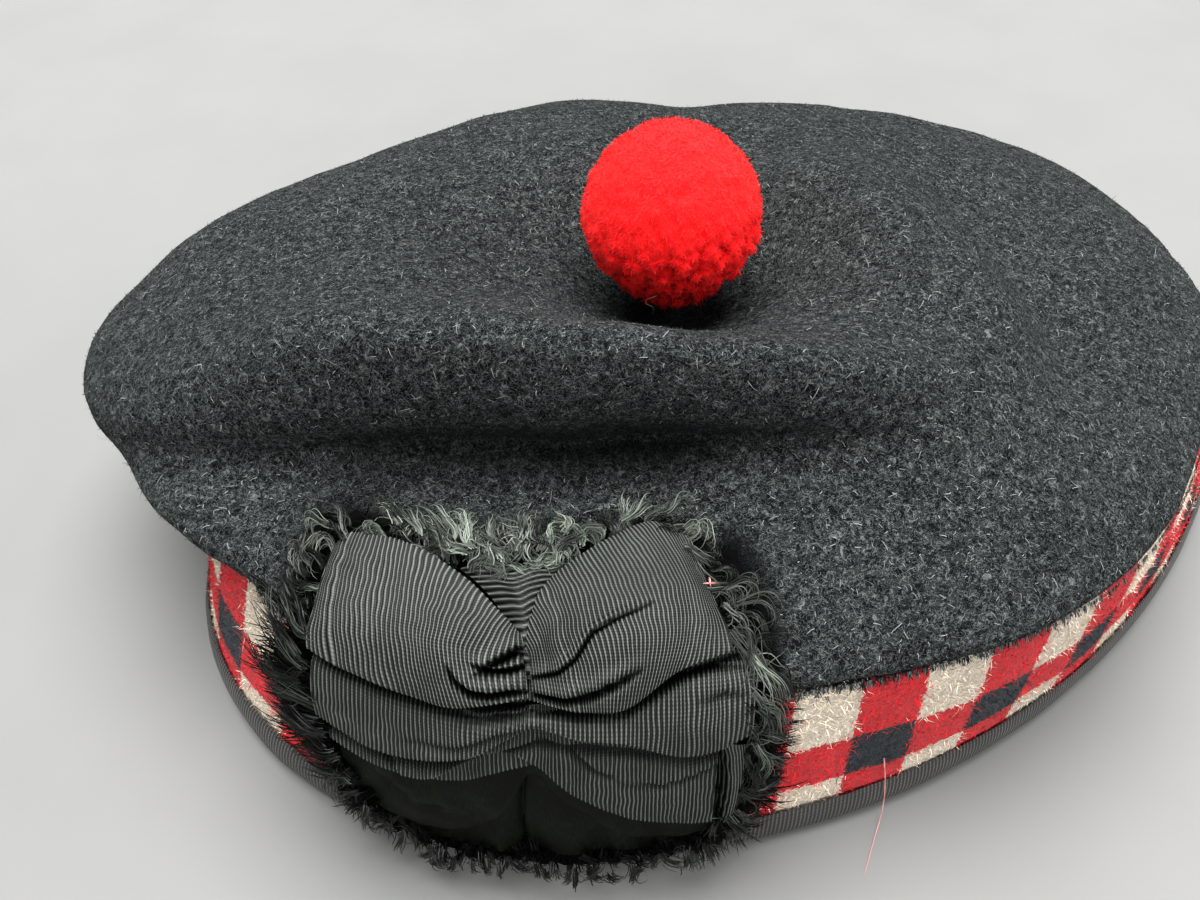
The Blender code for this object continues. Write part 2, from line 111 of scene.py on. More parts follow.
def to_metres(points):
    """Points in the hat's frame, in millimetres, as points of the row frame."""
    return np.asarray(points, float) * MM + ORIGIN


def to_hat(points):
    """Points of the row frame as millimetres in the hat's frame."""
    return (np.asarray(points, float) - ORIGIN) / MM


def oval(angle):
    """Points of the head opening's oval at angles in degrees."""
    turn = np.radians(angle)
    half_width = np.where(np.sin(turn) > 0, HALF_BACK, HALF_FRONT)
    return np.stack([HALF_LENGTH * np.cos(turn), half_width * np.sin(turn)], -1)


def running_length(points):
    """The length along a line of points, from 0 at the first, at each of them."""
    return np.concatenate([[0], np.cumsum(np.linalg.norm(np.diff(points, axis=0), axis=1))])


OVAL_ANGLES = np.linspace(0, 360, 1441)
OVAL_LENGTHS = running_length(oval(OVAL_ANGLES))
OVAL_ROUND = OVAL_LENGTHS[-1]


def angle_round(points):
    """Angle on the oval, in degrees, beside points given in millimetres."""
    half_width = np.where(points[..., 1] > 0, HALF_BACK, HALF_FRONT)
    return np.degrees(np.arctan2(points[..., 1] / half_width, points[..., 0] / HALF_LENGTH)) % 360


def length_round(points):
    """Length along the oval, in millimetres, beside points given in millimetres."""
    return np.interp(angle_round(points), OVAL_ANGLES, OVAL_LENGTHS)


def column_round(points):
    """Column of checks, as a running number, beside points given in millimetres."""
    length = length_round(points)
    first = COLUMN_KNOTS[0][0]
    again = length < first
    length = np.where(again, length + OVAL_ROUND, length)
    knots, columns = zip(*COLUMN_KNOTS)
    return np.interp(length, knots, columns) - np.where(again, COLUMNS, 0)


def eased(at, knots, values):
    """Values at places between knots, on a cubic that never overshoots them."""
    knots, values = np.asarray(knots, float), np.asarray(values, float)
    rise = np.diff(values) / np.diff(knots)
    slope = np.zeros(len(knots))
    turning = rise[:-1] * rise[1:] > 0
    total = np.where(turning, rise[:-1] + rise[1:], 1.0)
    slope[1:-1] = np.where(turning, 2 * rise[:-1] * rise[1:] / total, 0.0)
    span = np.clip(np.searchsorted(knots, at, side="left") - 1, 0, len(knots) - 2)
    width = knots[span + 1] - knots[span]
    t = (at - knots[span]) / width
    return (
        values[span] * (1 + 2 * t) * (1 - t) ** 2
        + slope[span] * width * t * (1 - t) ** 2
        + values[span + 1] * t * t * (3 - 2 * t)
        - slope[span + 1] * width * t * t * (1 - t)
    )


DRAPE_LENGTHS = running_length(DRAPE)


def draped(cloth):
    """Row-frame points for cloth points (u along the hat's side, w up it, lift out from it) in mm."""
    cloth = np.asarray(cloth, float)
    u, w, lift = cloth[..., 0], cloth[..., 1], cloth[..., 2]
    end = DRAPE_LENGTHS[-1]
    over = np.maximum(w - end, 0)
    w = np.clip(w, 0, end)
    insets, heights = zip(*DRAPE)

    def line(at):
        return np.stack([eased(at, DRAPE_LENGTHS, insets), eased(at, DRAPE_LENGTHS, heights)], -1)

    along = line(np.minimum(w + 0.5, end)) - line(np.maximum(w - 0.5, 0))
    along /= np.linalg.norm(along, axis=-1, keepdims=True)
    out = np.stack([-along[..., 1], along[..., 0]], -1)
    inset_height = line(w) + out * lift[..., None] + along * over[..., None]
    from_middle = u + COCKADE_SHIFT
    bend = np.where(from_middle > 0, BEND_RIGHT, BEND_LEFT)
    inset = inset_height[..., 0] + from_middle**2 / (2 * bend)
    rim = oval(COCKADE_ANGLE)
    facing = rim / np.array([HALF_LENGTH**2, HALF_FRONT**2])
    facing /= np.linalg.norm(facing)
    sideways = np.array([-facing[1], facing[0]])
    across = rim + sideways * from_middle[..., None] - facing * inset[..., None]
    return to_metres(np.concatenate([across, inset_height[..., 1:]], -1))


def spline(control, at):
    """Points on a smooth curve through control rows, at running row numbers."""
    control = np.asarray(control, float)
    ends = np.concatenate([[2 * control[0] - control[1]], control, [2 * control[-1] - control[-2]]])
    span = np.clip(np.floor(at).astype(int), 0, len(control) - 2)
    t = (at - span).reshape((-1,) + (1,) * (control.ndim - 1))
    a, b, c, d = (ends[span + i] for i in range(4))
    return b + 0.5 * t * (c - a + t * (2 * a - 5 * b + 4 * c - d + t * (3 * (b - c) + d - a)))


def unit(vectors):
    """The vectors at length one."""
    return vectors / np.maximum(np.linalg.norm(vectors, axis=-1, keepdims=True), 1e-12)


# ---------------------------------------------------------------- shader pieces


def node(tree, kind, inputs=None, **settings):
    """A shader node with its settings, values and links made at once."""
    made = tree.nodes.new("ShaderNode" + kind)
    for name, value in settings.items():
        setattr(made, name, value)
    for name, value in (inputs or {}).items():
        socket = made.inputs[name]
        if isinstance(value, bpy.types.NodeSocket):
            tree.links.new(value, socket)
        else:
            socket.default_value = value
    return made


def maths(tree, operation, first, second=0.0):
    """The output of one Math node."""
    return node(tree, "Math", {0: first, 1: second}, operation=operation).outputs[0]


def times(tree, first, second):
    """Two values multiplied."""
    return maths(tree, "MULTIPLY", first, second)


def plus(tree, first, second):
    """Two values added."""
    return maths(tree, "ADD", first, second)


def less(tree, first, second):
    """The second value taken from the first."""
    return maths(tree, "SUBTRACT", first, second)


def blended(tree, share, first, second):
    """The colour between two, by a share."""
    made = node(tree, "Mix", {0: share, 6: first, 7: second}, data_type="RGBA")
    return made.outputs[2]


def stepped(tree, value, low, high):
    """A smooth step from 0 at low to 1 at high."""
    made = node(
        tree, "MapRange", {"Value": value, "From Min": low, "From Max": high},
        interpolation_type="SMOOTHSTEP",
    )
    return made.outputs[0]


def speckle(tree, place, scale, detail=3.0, roughness=0.6, distortion=0.0):
    """The value of a noise pattern; scale is in repeats a metre."""
    made = node(
        tree, "TexNoise",
        {
            "Vector": place, "Scale": scale, "Detail": detail,
            "Roughness": roughness, "Distortion": distortion,
        },
    )
    return made.outputs[0]


def new_group(name, inputs, outputs):
    """An empty shader group with named sockets, and its two ends."""
    group = bpy.data.node_groups.new(name, "ShaderNodeTree")
    for socket, kind, value in inputs:
        made = group.interface.new_socket(socket, in_out="INPUT", socket_type="NodeSocket" + kind)
        if value is not None:
            made.default_value = value
    for socket, kind in outputs:
        group.interface.new_socket(socket, in_out="OUTPUT", socket_type="NodeSocket" + kind)
    start = group.nodes.new("NodeGroupInput")
    end = group.nodes.new("NodeGroupOutput")
    return group, start.outputs, end.inputs


def wool_group():
    """Matted wool: fine crossing fibres over soft mottling, as a colour and a height."""
    group, given, made = new_group(
        "matted_wool",
        [
            ("Place", "Vector", None), ("Dark", "Color", None), ("Pale", "Color", None),
            ("Fibre", "Float", 1.0), ("Mottling", "Float", 0.3),
        ],
        [("Color", "Color"), ("Height", "Float")],
    )
    fibres = speckle(group, given["Place"], 1500.0, 5.0, 0.72, 1.6)
    cross = speckle(group, given["Place"], 620.0, 4.0, 0.65, 2.4)
    patches = speckle(group, given["Place"], 75.0, 3.0, 0.55, 0.4)
    threads = plus(group, times(group, fibres, 0.6), times(group, cross, 0.4))
    crisp = stepped(group, threads, 0.40, 0.66)
    patch = times(group, less(group, patches, 0.5), given["Mottling"])
    share = node(group, "Clamp", {0: plus(group, crisp, patch)}).outputs[0]
    group.links.new(blended(group, share, given["Dark"], given["Pale"]), made["Color"])
    group.links.new(times(group, threads, given["Fibre"]), made["Height"])
    return group


def fibre_group():
    """Curly fibres matted at several depths: a mask of pale hairs over dark gaps, and a height."""
    group, given, made = new_group(
        "curly_fibres", [("Place", "Vector", None), ("Breadth", "Float", 1.0)],
        [("Mask", "Float"), ("Height", "Float")],
    )
    hairs = None
    for scale, breadth in ((620.0, 0.030), (900.0, 0.038), (1500.0, 0.05)):
        value = speckle(group, given["Place"], scale, 1.0, 0.5, 0.9)
        away = maths(group, "ABSOLUTE", less(group, value, 0.5))
        away = maths(group, "DIVIDE", away, times(group, given["Breadth"], breadth))
        line = less(group, 1.0, stepped(group, away, 0.1, 1.0))
        hairs = line if hairs is None else maths(group, "MAXIMUM", hairs, line)
    patches = stepped(group, speckle(group, given["Place"], 700.0, 4.0, 0.7, 0.3), 0.35, 0.62)
    shade = plus(group, times(group, patches, 0.5), 0.5)
    hairs = maths(group, "MAXIMUM", hairs, times(group, patches, 0.18))
    group.links.new(times(group, hairs, shade), made["Mask"])
    group.links.new(plus(group, hairs, times(group, patches, 0.6)), made["Height"])
    return group


# The dicing's colours, and the small points of felt along its upper edge: how many to a column of
# checks, and how deep they are against a row
CHECK_RED = (0.72, 0.018, 0.027, 1)
CHECK_WHITE = (0.86, 0.75, 0.61, 1)
CHECK_NAVY = (0.012, 0.020, 0.028, 1)
FELT_EDGE = (0.016, 0.018, 0.026, 1)
TEETH_A_COLUMN = 8.0
TEETH_DEPTH = 0.16


def dice_group():
    """Three rows of dicing by the band's own map: white, red and navy checks with woolly edges."""
    group, given, made = new_group(
        "diced_checks", [("Place", "Vector", None), ("Stray", "Float", 0.1)], [("Color", "Color")]
    )
    wander = node(
        group, "TexNoise", {"Vector": given["Place"], "Scale": 11.0, "Detail": 4.0, "Roughness": 0.8}
    )
    shift = node(
        group, "VectorMath", {0: wander.outputs["Color"], 1: (0.5, 0.5, 0.5)}, operation="SUBTRACT"
    )
    scaled = node(group, "VectorMath", {0: shift.outputs[0], 3: given["Stray"]}, operation="SCALE")
    moved = node(group, "VectorMath", {0: given["Place"], 1: scaled.outputs[0]}, operation="ADD")
    split = node(group, "SeparateXYZ", {0: moved.outputs[0]})
    column = maths(group, "FLOORED_MODULO", maths(group, "FLOOR", split.outputs[0]), 2.0)
    row = maths(group, "FLOORED_MODULO", maths(group, "FLOOR", split.outputs[1]), 2.0)
    white = times(group, less(group, 1.0, column), less(group, 1.0, row))
    navy = times(group, column, row)
    teeth = maths(group, "PINGPONG", times(group, split.outputs[0], TEETH_A_COLUMN), 0.5)
    edge = less(group, split.outputs[1], times(group, teeth, TEETH_DEPTH))
    fringe = less(group, 1.0, stepped(group, edge, 0.0, 0.05))
    red_white = blended(group, white, CHECK_RED, CHECK_WHITE)
    checks = blended(group, navy, red_white, CHECK_NAVY)
    group.links.new(blended(group, fringe, checks, FELT_EDGE), made["Color"])
    return group


def rib_group():
    """Corded ribbon: ribs across the map's first axis, crossed by fine threads, as a painted highlight mask
    along the ridges, varied at random, and a height.
    """
    group, given, made = new_group(
        "corded_ribbon",
        [("Place", "Vector", None), ("Threads", "Float", 8.0)],
        [("Ridge Highlight", "Float"), ("Height", "Float")],
    )
    split = node(group, "SeparateXYZ", {0: given["Place"]})
    cord = maths(group, "COSINE", times(group, split.outputs[0], 2 * math.pi))
    round_ridge = plus(group, times(group, cord, 0.5), 0.5)
    ridge = maths(group, "POWER", round_ridge, 1.9)
    thread = maths(group, "COSINE", times(group, split.outputs[1], given["Threads"]))
    worn = speckle(group, given["Place"], 0.9, 4.0, 0.7)
    uneven = times(group, worn, 0.5)
    height = plus(group, ridge, times(group, thread, 0.12))
    flecks = plus(group, times(group, thread, 0.22), times(group, uneven, 1.9))
    # painted highlight: the ridge mask lightens the colour along the rib tops
    group.links.new(times(group, ridge, plus(group, flecks, 0.42)), made["Ridge Highlight"])
    group.links.new(plus(group, height, uneven), made["Height"])
    return group


WOOL = wool_group()
FIBRES = fibre_group()
DICE = dice_group()
RIBS = rib_group()


def new_material(name, **shader):
    """A material with its Principled shader's constants set; returns it, its tree and the shader."""
    material = bpy.data.materials.new(name)
    material.use_nodes = True
    tree = material.node_tree
    principled = tree.nodes["Principled BSDF"]
    for socket, value in shader.items():
        principled.inputs[socket.replace("_", " ")].default_value = value
    return material, tree, principled


def bump(tree, principled, height, distance, strength=1.0):
    """A Bump node from a height to the shader; distance is in metres."""
    made = node(tree, "Bump", {"Height": height, "Distance": distance, "Strength": strength})
    tree.links.new(made.outputs[0], principled.inputs["Normal"])


def colour(tree, principled, socket):
    """Links a colour to the shader."""
    tree.links.new(socket, principled.inputs["Base Color"])


def point_value(tree, name):
    """A mesh's own value at each point, which the pieces below carry as open, pressed or tone."""
    return node(tree, "Attribute", attribute_name=name).outputs["Fac"]


def cloth_place(tree):
    """The place on the cloth, from its own map."""
    return node(tree, "UVMap", uv_map="cloth").outputs[0]


def object_place(tree):
    """The place in the piece's own frame, in metres."""
    return node(tree, "TexCoord").outputs["Object"]


def ramp_colour(tree, value, stops):
    """A colour between stops of (value, red, green and blue)."""
    ramp = node(tree, "ValToRGB", {0: value})
    elements = ramp.color_ramp.elements
    while len(elements) < len(stops):
        elements.new(0.5)
    for element, (place, shade) in zip(elements, stops):
        element.position = place
        element.color = (*shade, 1)
    return ramp.outputs[0]


def felt_material(name, dark, pale):
    """Milled wool felt."""
    material, tree, principled = new_material(
        name, Roughness=0.95, Specular_IOR_Level=0.08, Sheen_Weight=0.03,
        Sheen_Roughness=0.5, Sheen_Tint=(0.70, 0.76, 0.82, 1),
    )
    fibres = node(tree, "Group", {"Place": object_place(tree)}, node_tree=FIBRES)
    # painted shade: the open value dims the pale fibres in folds, creases and recesses
    share = times(tree, fibres.outputs["Mask"], point_value(tree, "open"))
    colour(tree, principled, blended(tree, share, dark, pale))
    bump(tree, principled, fibres.outputs["Height"], 0.0005, 0.8)
    return material


def nap_material(name, stops):
    """Loose fibres, coloured strand by strand."""
    material, tree, principled = new_material(name, Roughness=0.85, Specular_IOR_Level=0.12)
    colour(tree, principled, ramp_colour(tree, point_value(tree, "tone"), stops))
    return material


def diced_material(name, nap):
    """The band's wool, or the nap on it."""
    material, tree, principled = new_material(
        name, Roughness=0.92, Specular_IOR_Level=0.25, Sheen_Weight=0.15, Sheen_Roughness=0.5,
    )
    stray = 0.34 if nap else 0.30
    checks = node(tree, "Group", {"Place": cloth_place(tree), "Stray": stray}, node_tree=DICE)
    if nap:
        value = node(
            tree, "MapRange", {"Value": point_value(tree, "tone"), "To Min": 0.72, "To Max": 1.35}
        )
        shade = node(
            tree, "HueSaturation", {"Color": checks.outputs[0], "Value": value.outputs[0]}
        )
        colour(tree, principled, shade.outputs[0])
        return material
    wool = node(
        tree, "Group",
        {"Place": object_place(tree), "Dark": (0.55, 0.55, 0.55, 1), "Pale": (1.0, 1.0, 1.0, 1)},
        node_tree=WOOL,
    )
    both = node(
        tree, "Mix", {0: 1.0, 6: checks.outputs[0], 7: wool.outputs["Color"]},
        data_type="RGBA", blend_type="MULTIPLY",
    )
    colour(tree, principled, both.outputs[2])
    bump(tree, principled, wool.outputs["Height"], 0.0010, 0.8)
    return material


def ribbon_material(name, valley, ridge, roughness, threads, distance, specular, sheen=0.0):
    """Grosgrain: a painted highlight along the corded ribs above dark valleys, and painted shade from the
    open value in folds, creases and under hems.
    """
    material, tree, principled = new_material(
        name, Roughness=roughness, Specular_IOR_Level=specular, Sheen_Weight=sheen, Sheen_Roughness=0.4,
    )
    ribs = node(tree, "Group", {"Place": cloth_place(tree), "Threads": threads}, node_tree=RIBS)
    worn = speckle(tree, object_place(tree), 160.0, 4.0, 0.6, 0.5)
    # painted highlight along the ribs, varied at random
    shade = times(tree, ribs.outputs["Ridge Highlight"], plus(tree, worn, 0.45))
    # painted shade: the open value darkens the ribbon in folds, creases and under hems
    shade = times(tree, shade, point_value(tree, "open"))
    colour(tree, principled, blended(tree, shade, valley, ridge))
    bump(tree, principled, ribs.outputs["Height"], distance, 0.8)
    return material


def satin_material(name, dark, pale):
    """Smooth black ribbon with a fine warp and rubbed places."""
    material, tree, principled = new_material(name, Specular_IOR_Level=0.16, Anisotropic=0.4)
    stretched = node(tree, "Mapping", {"Vector": cloth_place(tree), "Scale": (9.0, 0.6, 1.0)})
    warp = node(tree, "TexNoise", {"Vector": stretched.outputs[0], "Scale": 1.0, "Detail": 4.0})
    rubbed = speckle(tree, object_place(tree), 130.0, 5.0, 0.6, 0.8)
    share = stepped(tree, times(tree, warp.outputs[0], rubbed), 0.18, 0.42)
    colour(tree, principled, blended(tree, share, dark, pale))
    rough = node(tree, "MapRange", {"Value": rubbed, "To Min": 0.40, "To Max": 0.70})
    tree.links.new(rough.outputs[0], principled.inputs["Roughness"])
    bump(tree, principled, warp.outputs[0], 0.00012, 0.7)
    return material


def thread_material(name, dark, pale, roughness, specular):
    """Raw warp threads, between a dark and a pale colour by each thread's tone, which on the fringe carries
    painted glints.
    """
    material, tree, principled = new_material(name, Roughness=roughness, Specular_IOR_Level=specular)
    colour(tree, principled, blended(tree, point_value(tree, "tone"), dark, pale))
    return material


def toorie_material(name):
    """Red wool by tone: painted shade darkens it deep between the tufts, and a painted highlight brightens
    the proud tufts' cut ends.
    """
    material, tree, principled = new_material(
        name, Roughness=0.9, Specular_IOR_Level=0.2, Sheen_Weight=0.25, Sheen_Roughness=0.5,
        Sheen_Tint=(1.0, 0.30, 0.26, 1),
    )
    stops = ((0.0, (0.20, 0.001, 0.001)), (0.40, (0.74, 0.006, 0.008)), (0.8, (0.92, 0.028, 0.030)))
    colour(tree, principled, ramp_colour(tree, point_value(tree, "tone"), stops))
    return material


# ---------------------------------------------------------------- mesh tools


def finish_piece(piece, materials):
    """Materials, shading, the body it rides on and the finish it takes."""
    for material in materials:
        piece.data.materials.append(material)
    piece.data.shade_smooth()
    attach(piece, "root")
    return piece


def placed(name, data):
    """A new object in the scene, at its origin."""
    piece = bpy.data.objects.new(name, data)
    bpy.context.scene.collection.objects.link(piece)
    return piece


def mesh_from(name, shape):
    """A bmesh as a mesh, and the bmesh freed."""
    mesh = bpy.data.meshes.new(name)
    shape.to_mesh(mesh)
    shape.free()
    return mesh


def modified(name, plain, kind, **settings):
    """A new mesh: the plain one with one modifier applied."""
    carrier = placed(name + "_plain", plain)
    modifier = carrier.modifiers.new("shape", kind)
    for setting, value in settings.items():
        setattr(modifier, setting, value)
    evaluated = carrier.evaluated_get(bpy.context.evaluated_depsgraph_get())
    mesh = bpy.data.meshes.new_from_object(evaluated)
    mesh.name = name
    bpy.data.objects.remove(carrier)
    bpy.data.meshes.remove(plain)
    return mesh


def mark_outside(shell):
    """Material 1 on the faces past the shell's sharp lower rim, so that 0 is the outside."""
    start = max(shell.faces, key=lambda face: face.calc_center_median().z)
    outside, waiting = {start}, [start]
    while waiting:
        for edge in waiting.pop().edges:
            if len(edge.link_faces) == 2 and edge.calc_face_angle_signed() < math.radians(58):
                for face in edge.link_faces:
                    if face not in outside:
                        outside.add(face)
                        waiting.append(face)
    for face in shell.faces:
        face.material_index = 0 if face in outside else 1


def cloth_copy(cad_node, name, levels, two_sided=False):
    """A CAD solid's mesh, joined into quads and smoothed, as a new piece."""
    shell = bmesh.new()
    shell.from_mesh(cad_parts[cad_node].data)
    bmesh.ops.remove_doubles(shell, verts=shell.verts, dist=0.002 * MM)
    bmesh.ops.join_triangles(
        shell, faces=shell.faces, angle_face_threshold=math.pi, angle_shape_threshold=math.pi,
        topology_influence=1.2,
    )
    for face in shell.faces:
        face.material_index = 0
    if two_sided:
        mark_outside(shell)
    plain = mesh_from(name + "_plain", shell)
    return placed(name, modified(name, plain, "SUBSURF", levels=levels, render_levels=levels))


def read(items, field, width=1, kind=int):
    """One property of all of a mesh's items: a value each, or a row of width values each."""
    values = np.zeros(len(items) * width, kind)
    items.foreach_get(field, values)
    return values.reshape(-1, width) if width > 1 else values


def points_of(mesh):
    """A mesh's points, in metres."""
    return read(mesh.vertices, "co", 3, float)


def normals_of(mesh):
    """A mesh's normals, one for each point."""
    return read(mesh.vertex_normals, "vector", 3, float)


def set_points(mesh, points):
    """Moves a mesh's points."""
    mesh.vertices.foreach_set("co", np.asarray(points, np.float32).ravel())
    mesh.update()


def set_values(mesh, name, values):
    """A number for each point of a mesh, for its material to read."""
    layer = mesh.attributes.new(name, "FLOAT", "POINT")
    layer.data.foreach_set("value", np.asarray(values, np.float32))


def values_of(mesh, name):
    """A mesh's numbers by that name, or 1 at each point where it has none."""
    values = np.ones(len(mesh.vertices))
    if name in mesh.attributes:
        mesh.attributes[name].data.foreach_get("value", values)
    return values


def paint_fold_shade(pieces, reach, low, high, power, shades=()):
    """Gives each point of the pieces an "open" value: how clear the air over it is, within reach in mm,
    of the pieces and of the CAD nodes named as shades, from 0 at the low share to 1 at the high share.
    Down in folds and pressed creases it falls towards 0, and the materials that read it darken there:
    painted shade."""
    shell = bmesh.new()
    for mesh in [piece.data for piece in pieces] + [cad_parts[name].data for name in shades]:
        shell.from_mesh(mesh)
    tree = BVHTree.FromBMesh(shell)
    shell.free()
    index = np.arange(SKY_RAYS) + 0.5
    flat = np.sqrt(index / SKY_RAYS)
    turn = index * GOLDEN_TURN
    fan = np.stack([flat * np.cos(turn), flat * np.sin(turn), np.sqrt(1 - flat**2)], 1)[:, :, None]
    for piece in pieces:
        points, normals = points_of(piece.data), normals_of(piece.data)
        across = unit(np.cross(normals, (0.3, 0.5, 0.81)))
        frame_of = np.stack([across, np.cross(normals, across), normals], 1)
        starts = (points + normals * RAY_START * MM).tolist()
        clear = np.zeros(len(points))
        for ray in fan:
            ways = (frame_of * ray).sum(1).tolist()
            hits = [tree.ray_cast(start, way, reach * MM)[3] for start, way in zip(starts, ways)]
            clear += [1.0 if hit is None else hit / (reach * MM) for hit in hits]
        clear = np.clip((clear / SKY_RAYS - low) / (high - low), 0, 1) ** power
        # painted shade: pressed creases lose open value, so they darken further
        if "pressed" in piece.data.attributes:
            clear *= 1 - CREASE_SHADE * values_of(piece.data, "pressed")
        set_values(piece.data, "open", clear)


def set_corner_map(mesh, values):
    """A cloth map from a pair of numbers for each corner of a mesh's faces."""
    layer = mesh.uv_layers.new(name="cloth")
    layer.data.foreach_set("uv", np.asarray(values, np.float32).ravel())


def set_cloth_map(mesh, values):
    """A cloth map from a pair of numbers for each point of a mesh."""
    set_corner_map(mesh, values[read(mesh.loops, "vertex_index")])


def undulate(mesh, size, height, seed):
    """Moves a mesh's points along their normals by soft noise; size and height are in mm."""
    points, normals = points_of(mesh), normals_of(mesh)
    offset = Vector((seed * 3.7, seed * 1.9, seed * 0.7))
    moves = [noise.fractal(Vector(p) / (size * MM) + offset, 1.0, 2.0, 3) for p in points]
    set_points(mesh, points + normals * (np.array(moves) * height * MM)[:, None])


def scatter(mesh, count, random, wanted=lambda place, out, slot: 1.0):
    """Random roots on a mesh: points, normals, cloth-map places and how open the air is over them.
    wanted gives the share of roots wished for on triangles, by place in mm, normal and slot."""
    mesh.calc_loop_triangles()
    corners = read(mesh.loop_triangles, "vertices", 3)
    loops = read(mesh.loop_triangles, "loops", 3)
    slots = read(mesh.polygons, "material_index")[read(mesh.loop_triangles, "polygon_index")]
    points, normals = points_of(mesh), normals_of(mesh)
    a, b, c = (points[corners[:, i]] for i in range(3))
    crossed = np.cross(b - a, c - a)
    area = np.linalg.norm(crossed, axis=1) / 2
    weight = area * wanted(to_hat((a + b + c) / 3), unit(crossed), slots)
    chosen = random.choice(len(corners), count, p=weight / weight.sum())
    first = np.sqrt(random.random((count, 1)))
    second = random.random((count, 1))
    shares = np.concatenate([1 - first, first * (1 - second), first * second], 1)[:, :, None]
    roots = (points[corners[chosen]] * shares).sum(1)
    out = unit((normals[corners[chosen]] * shares).sum(1))
    clear = (values_of(mesh, "open")[corners[chosen]] * shares[:, :, 0]).sum(1)
    cloth = None
    if mesh.uv_layers:
        cloth = (read(mesh.uv_layers["cloth"].data, "uv", 2, float)[loops[chosen]] * shares).sum(1)
    return roots, out, cloth, clear


def blade_row(name, steps, count):
    """A mesh of many alike blades, each a strip of steps rows that ends in a point."""
    blade = bmesh.new()
    bmesh.ops.create_grid(blade, x_segments=1, y_segments=steps - 1, size=0.5)
    end = [vertex for vertex in blade.verts if vertex.co.y > 0.49]
    bmesh.ops.pointmerge(blade, verts=end, merge_co=(0, 0.5, 0))
    blade.verts.sort(key=lambda vertex: vertex.co.y * 100 + vertex.co.x)
    return modified(name, mesh_from(name + "_blade", blade), "ARRAY", count=count)


def strands(name, spine, width, side, tone, cloth=None):
    """One piece of flat tapering threads along spines (strand, step, xyz)."""
    count, steps = spine.shape[:2]
    along = unit(np.gradient(spine, axis=1))
    across = unit(np.cross(along, side[:, None, :]))
    taper = (1 - np.linspace(0, 1, steps) ** 3 * 0.75)[None, :, None]
    half = across * width[:, None, None] * taper / 2
    edges = np.stack([spine - half, spine + half], 2)[:, :-1].reshape(count, -1, 3)
    points = np.concatenate([edges, spine[:, -1:]], 1)
    each = points.shape[1]
    mesh = blade_row(name, steps, count)
    set_points(mesh, points)
    set_values(mesh, "tone", np.repeat(tone, each))
    if cloth is not None:
        set_cloth_map(mesh, np.repeat(cloth, each, axis=0))
    return placed(name, mesh)


def fibre_spines(roots, out, lengths, lean, droop, random, steps, curl=0.0):
    """Short bent fibres from their roots: lean is the tangent direction, droop pulls the tip down and
    curl winds the fibre round."""
    t = np.linspace(0, 1, steps)[None, :, None]
    start = unit(out * 0.75 + lean)
    bend = unit(random.normal(size=out.shape)) * 0.45 - out * droop
    path = start[:, None] * t + bend[:, None] * t**2 * 0.6
    if curl:
        swirl = unit(np.cross(out, start))
        turn = random.uniform(1.5, 4.5, (len(roots), 1, 1)) * random.choice([-1, 1], (len(roots), 1, 1))
        path += curl * swirl[:, None] * np.sin(turn * t) + curl * start[:, None] * (np.cos(turn * t) - 1)
    return roots[:, None] + path * lengths[:, None, None]


def tangent_lean(out, random, downhill):
    """Random directions along the surface, brushed downhill."""
    wander = random.normal(size=out.shape)
    wander = unit(wander - out * (wander * out).sum(1, keepdims=True))
    down = np.array([0.0, 0.0, -1.0]) + out * out[:, 2:3]
    return wander + down * downhill


# ---------------------------------------------------------------- materials

NAVY_FELT = felt_material("navy_felt", (0.0022, 0.0030, 0.0030, 1), (0.118, 0.130, 0.127, 1))
INNER_FELT = felt_material("navy_felt_inside", (0.004, 0.0045, 0.006, 1), (0.050, 0.055, 0.060, 1))
NAVY_NAP = nap_material(
    "navy_nap",
    [
        (0.0, (0.0006, 0.0009, 0.0008)), (0.33, (0.0065, 0.0076, 0.0080)),
        (0.58, (0.065, 0.071, 0.070)), (1.0, (0.225, 0.238, 0.232)),
    ],
)
DICED_WOOL = diced_material("diced_wool", False)
DICED_NAP = diced_material("diced_nap", True)
# the ridge colours give a painted highlight along the ribs, over the valley colours
GREY_GROSGRAIN = ribbon_material(
    "grey_grosgrain", (0.028, 0.027, 0.026, 1), (0.105, 0.103, 0.098, 1), 0.78, 10.0, 0.00016, 0.3, 0.1
)
BLACK_GROSGRAIN = ribbon_material(
    "black_grosgrain", (0.0006, 0.0009, 0.0006, 1), (0.146, 0.160, 0.144, 1), 0.5, 14.0, 0.00012, 0.35
)
BLACK_SATIN = satin_material("black_satin", (0.0008, 0.0013, 0.0006, 1), (0.0068, 0.0100, 0.0040, 1))
# the pale end is a painted highlight, a greenish silver glinting on the fringe's lit threads
BLACK_THREAD = thread_material(
    "black_thread", (0.0004, 0.0007, 0.0005, 1), (0.21, 0.24, 0.20, 1), 0.36, 0.28
)
# a shaded copy of the black thread, almost without painted highlight, for the fringe's shaded low and side
# locks and matted threads
SHADED_BLACK_THREAD = thread_material(
    "shaded_black_thread", (0.0004, 0.0007, 0.0004, 1), (0.018, 0.022, 0.017, 1), 0.5, 0.08
)
DARK_BED = thread_material(
    "black_thread_bed", (0.0015, 0.0015, 0.0015, 1), (0.006, 0.006, 0.006, 1), 0.95, 0.05
)
PALE_YARN = thread_material("pale_yarn", (0.20, 0.14, 0.10, 1), (0.62, 0.42, 0.32, 1), 0.8, 0.2)
PINK_YARN = thread_material("pink_yarn", (0.24, 0.07, 0.07, 1), (0.70, 0.36, 0.34, 1), 0.8, 0.2)
RED_WOOL = toorie_material("red_wool")


# ---------------------------------------------------------------- felt crown

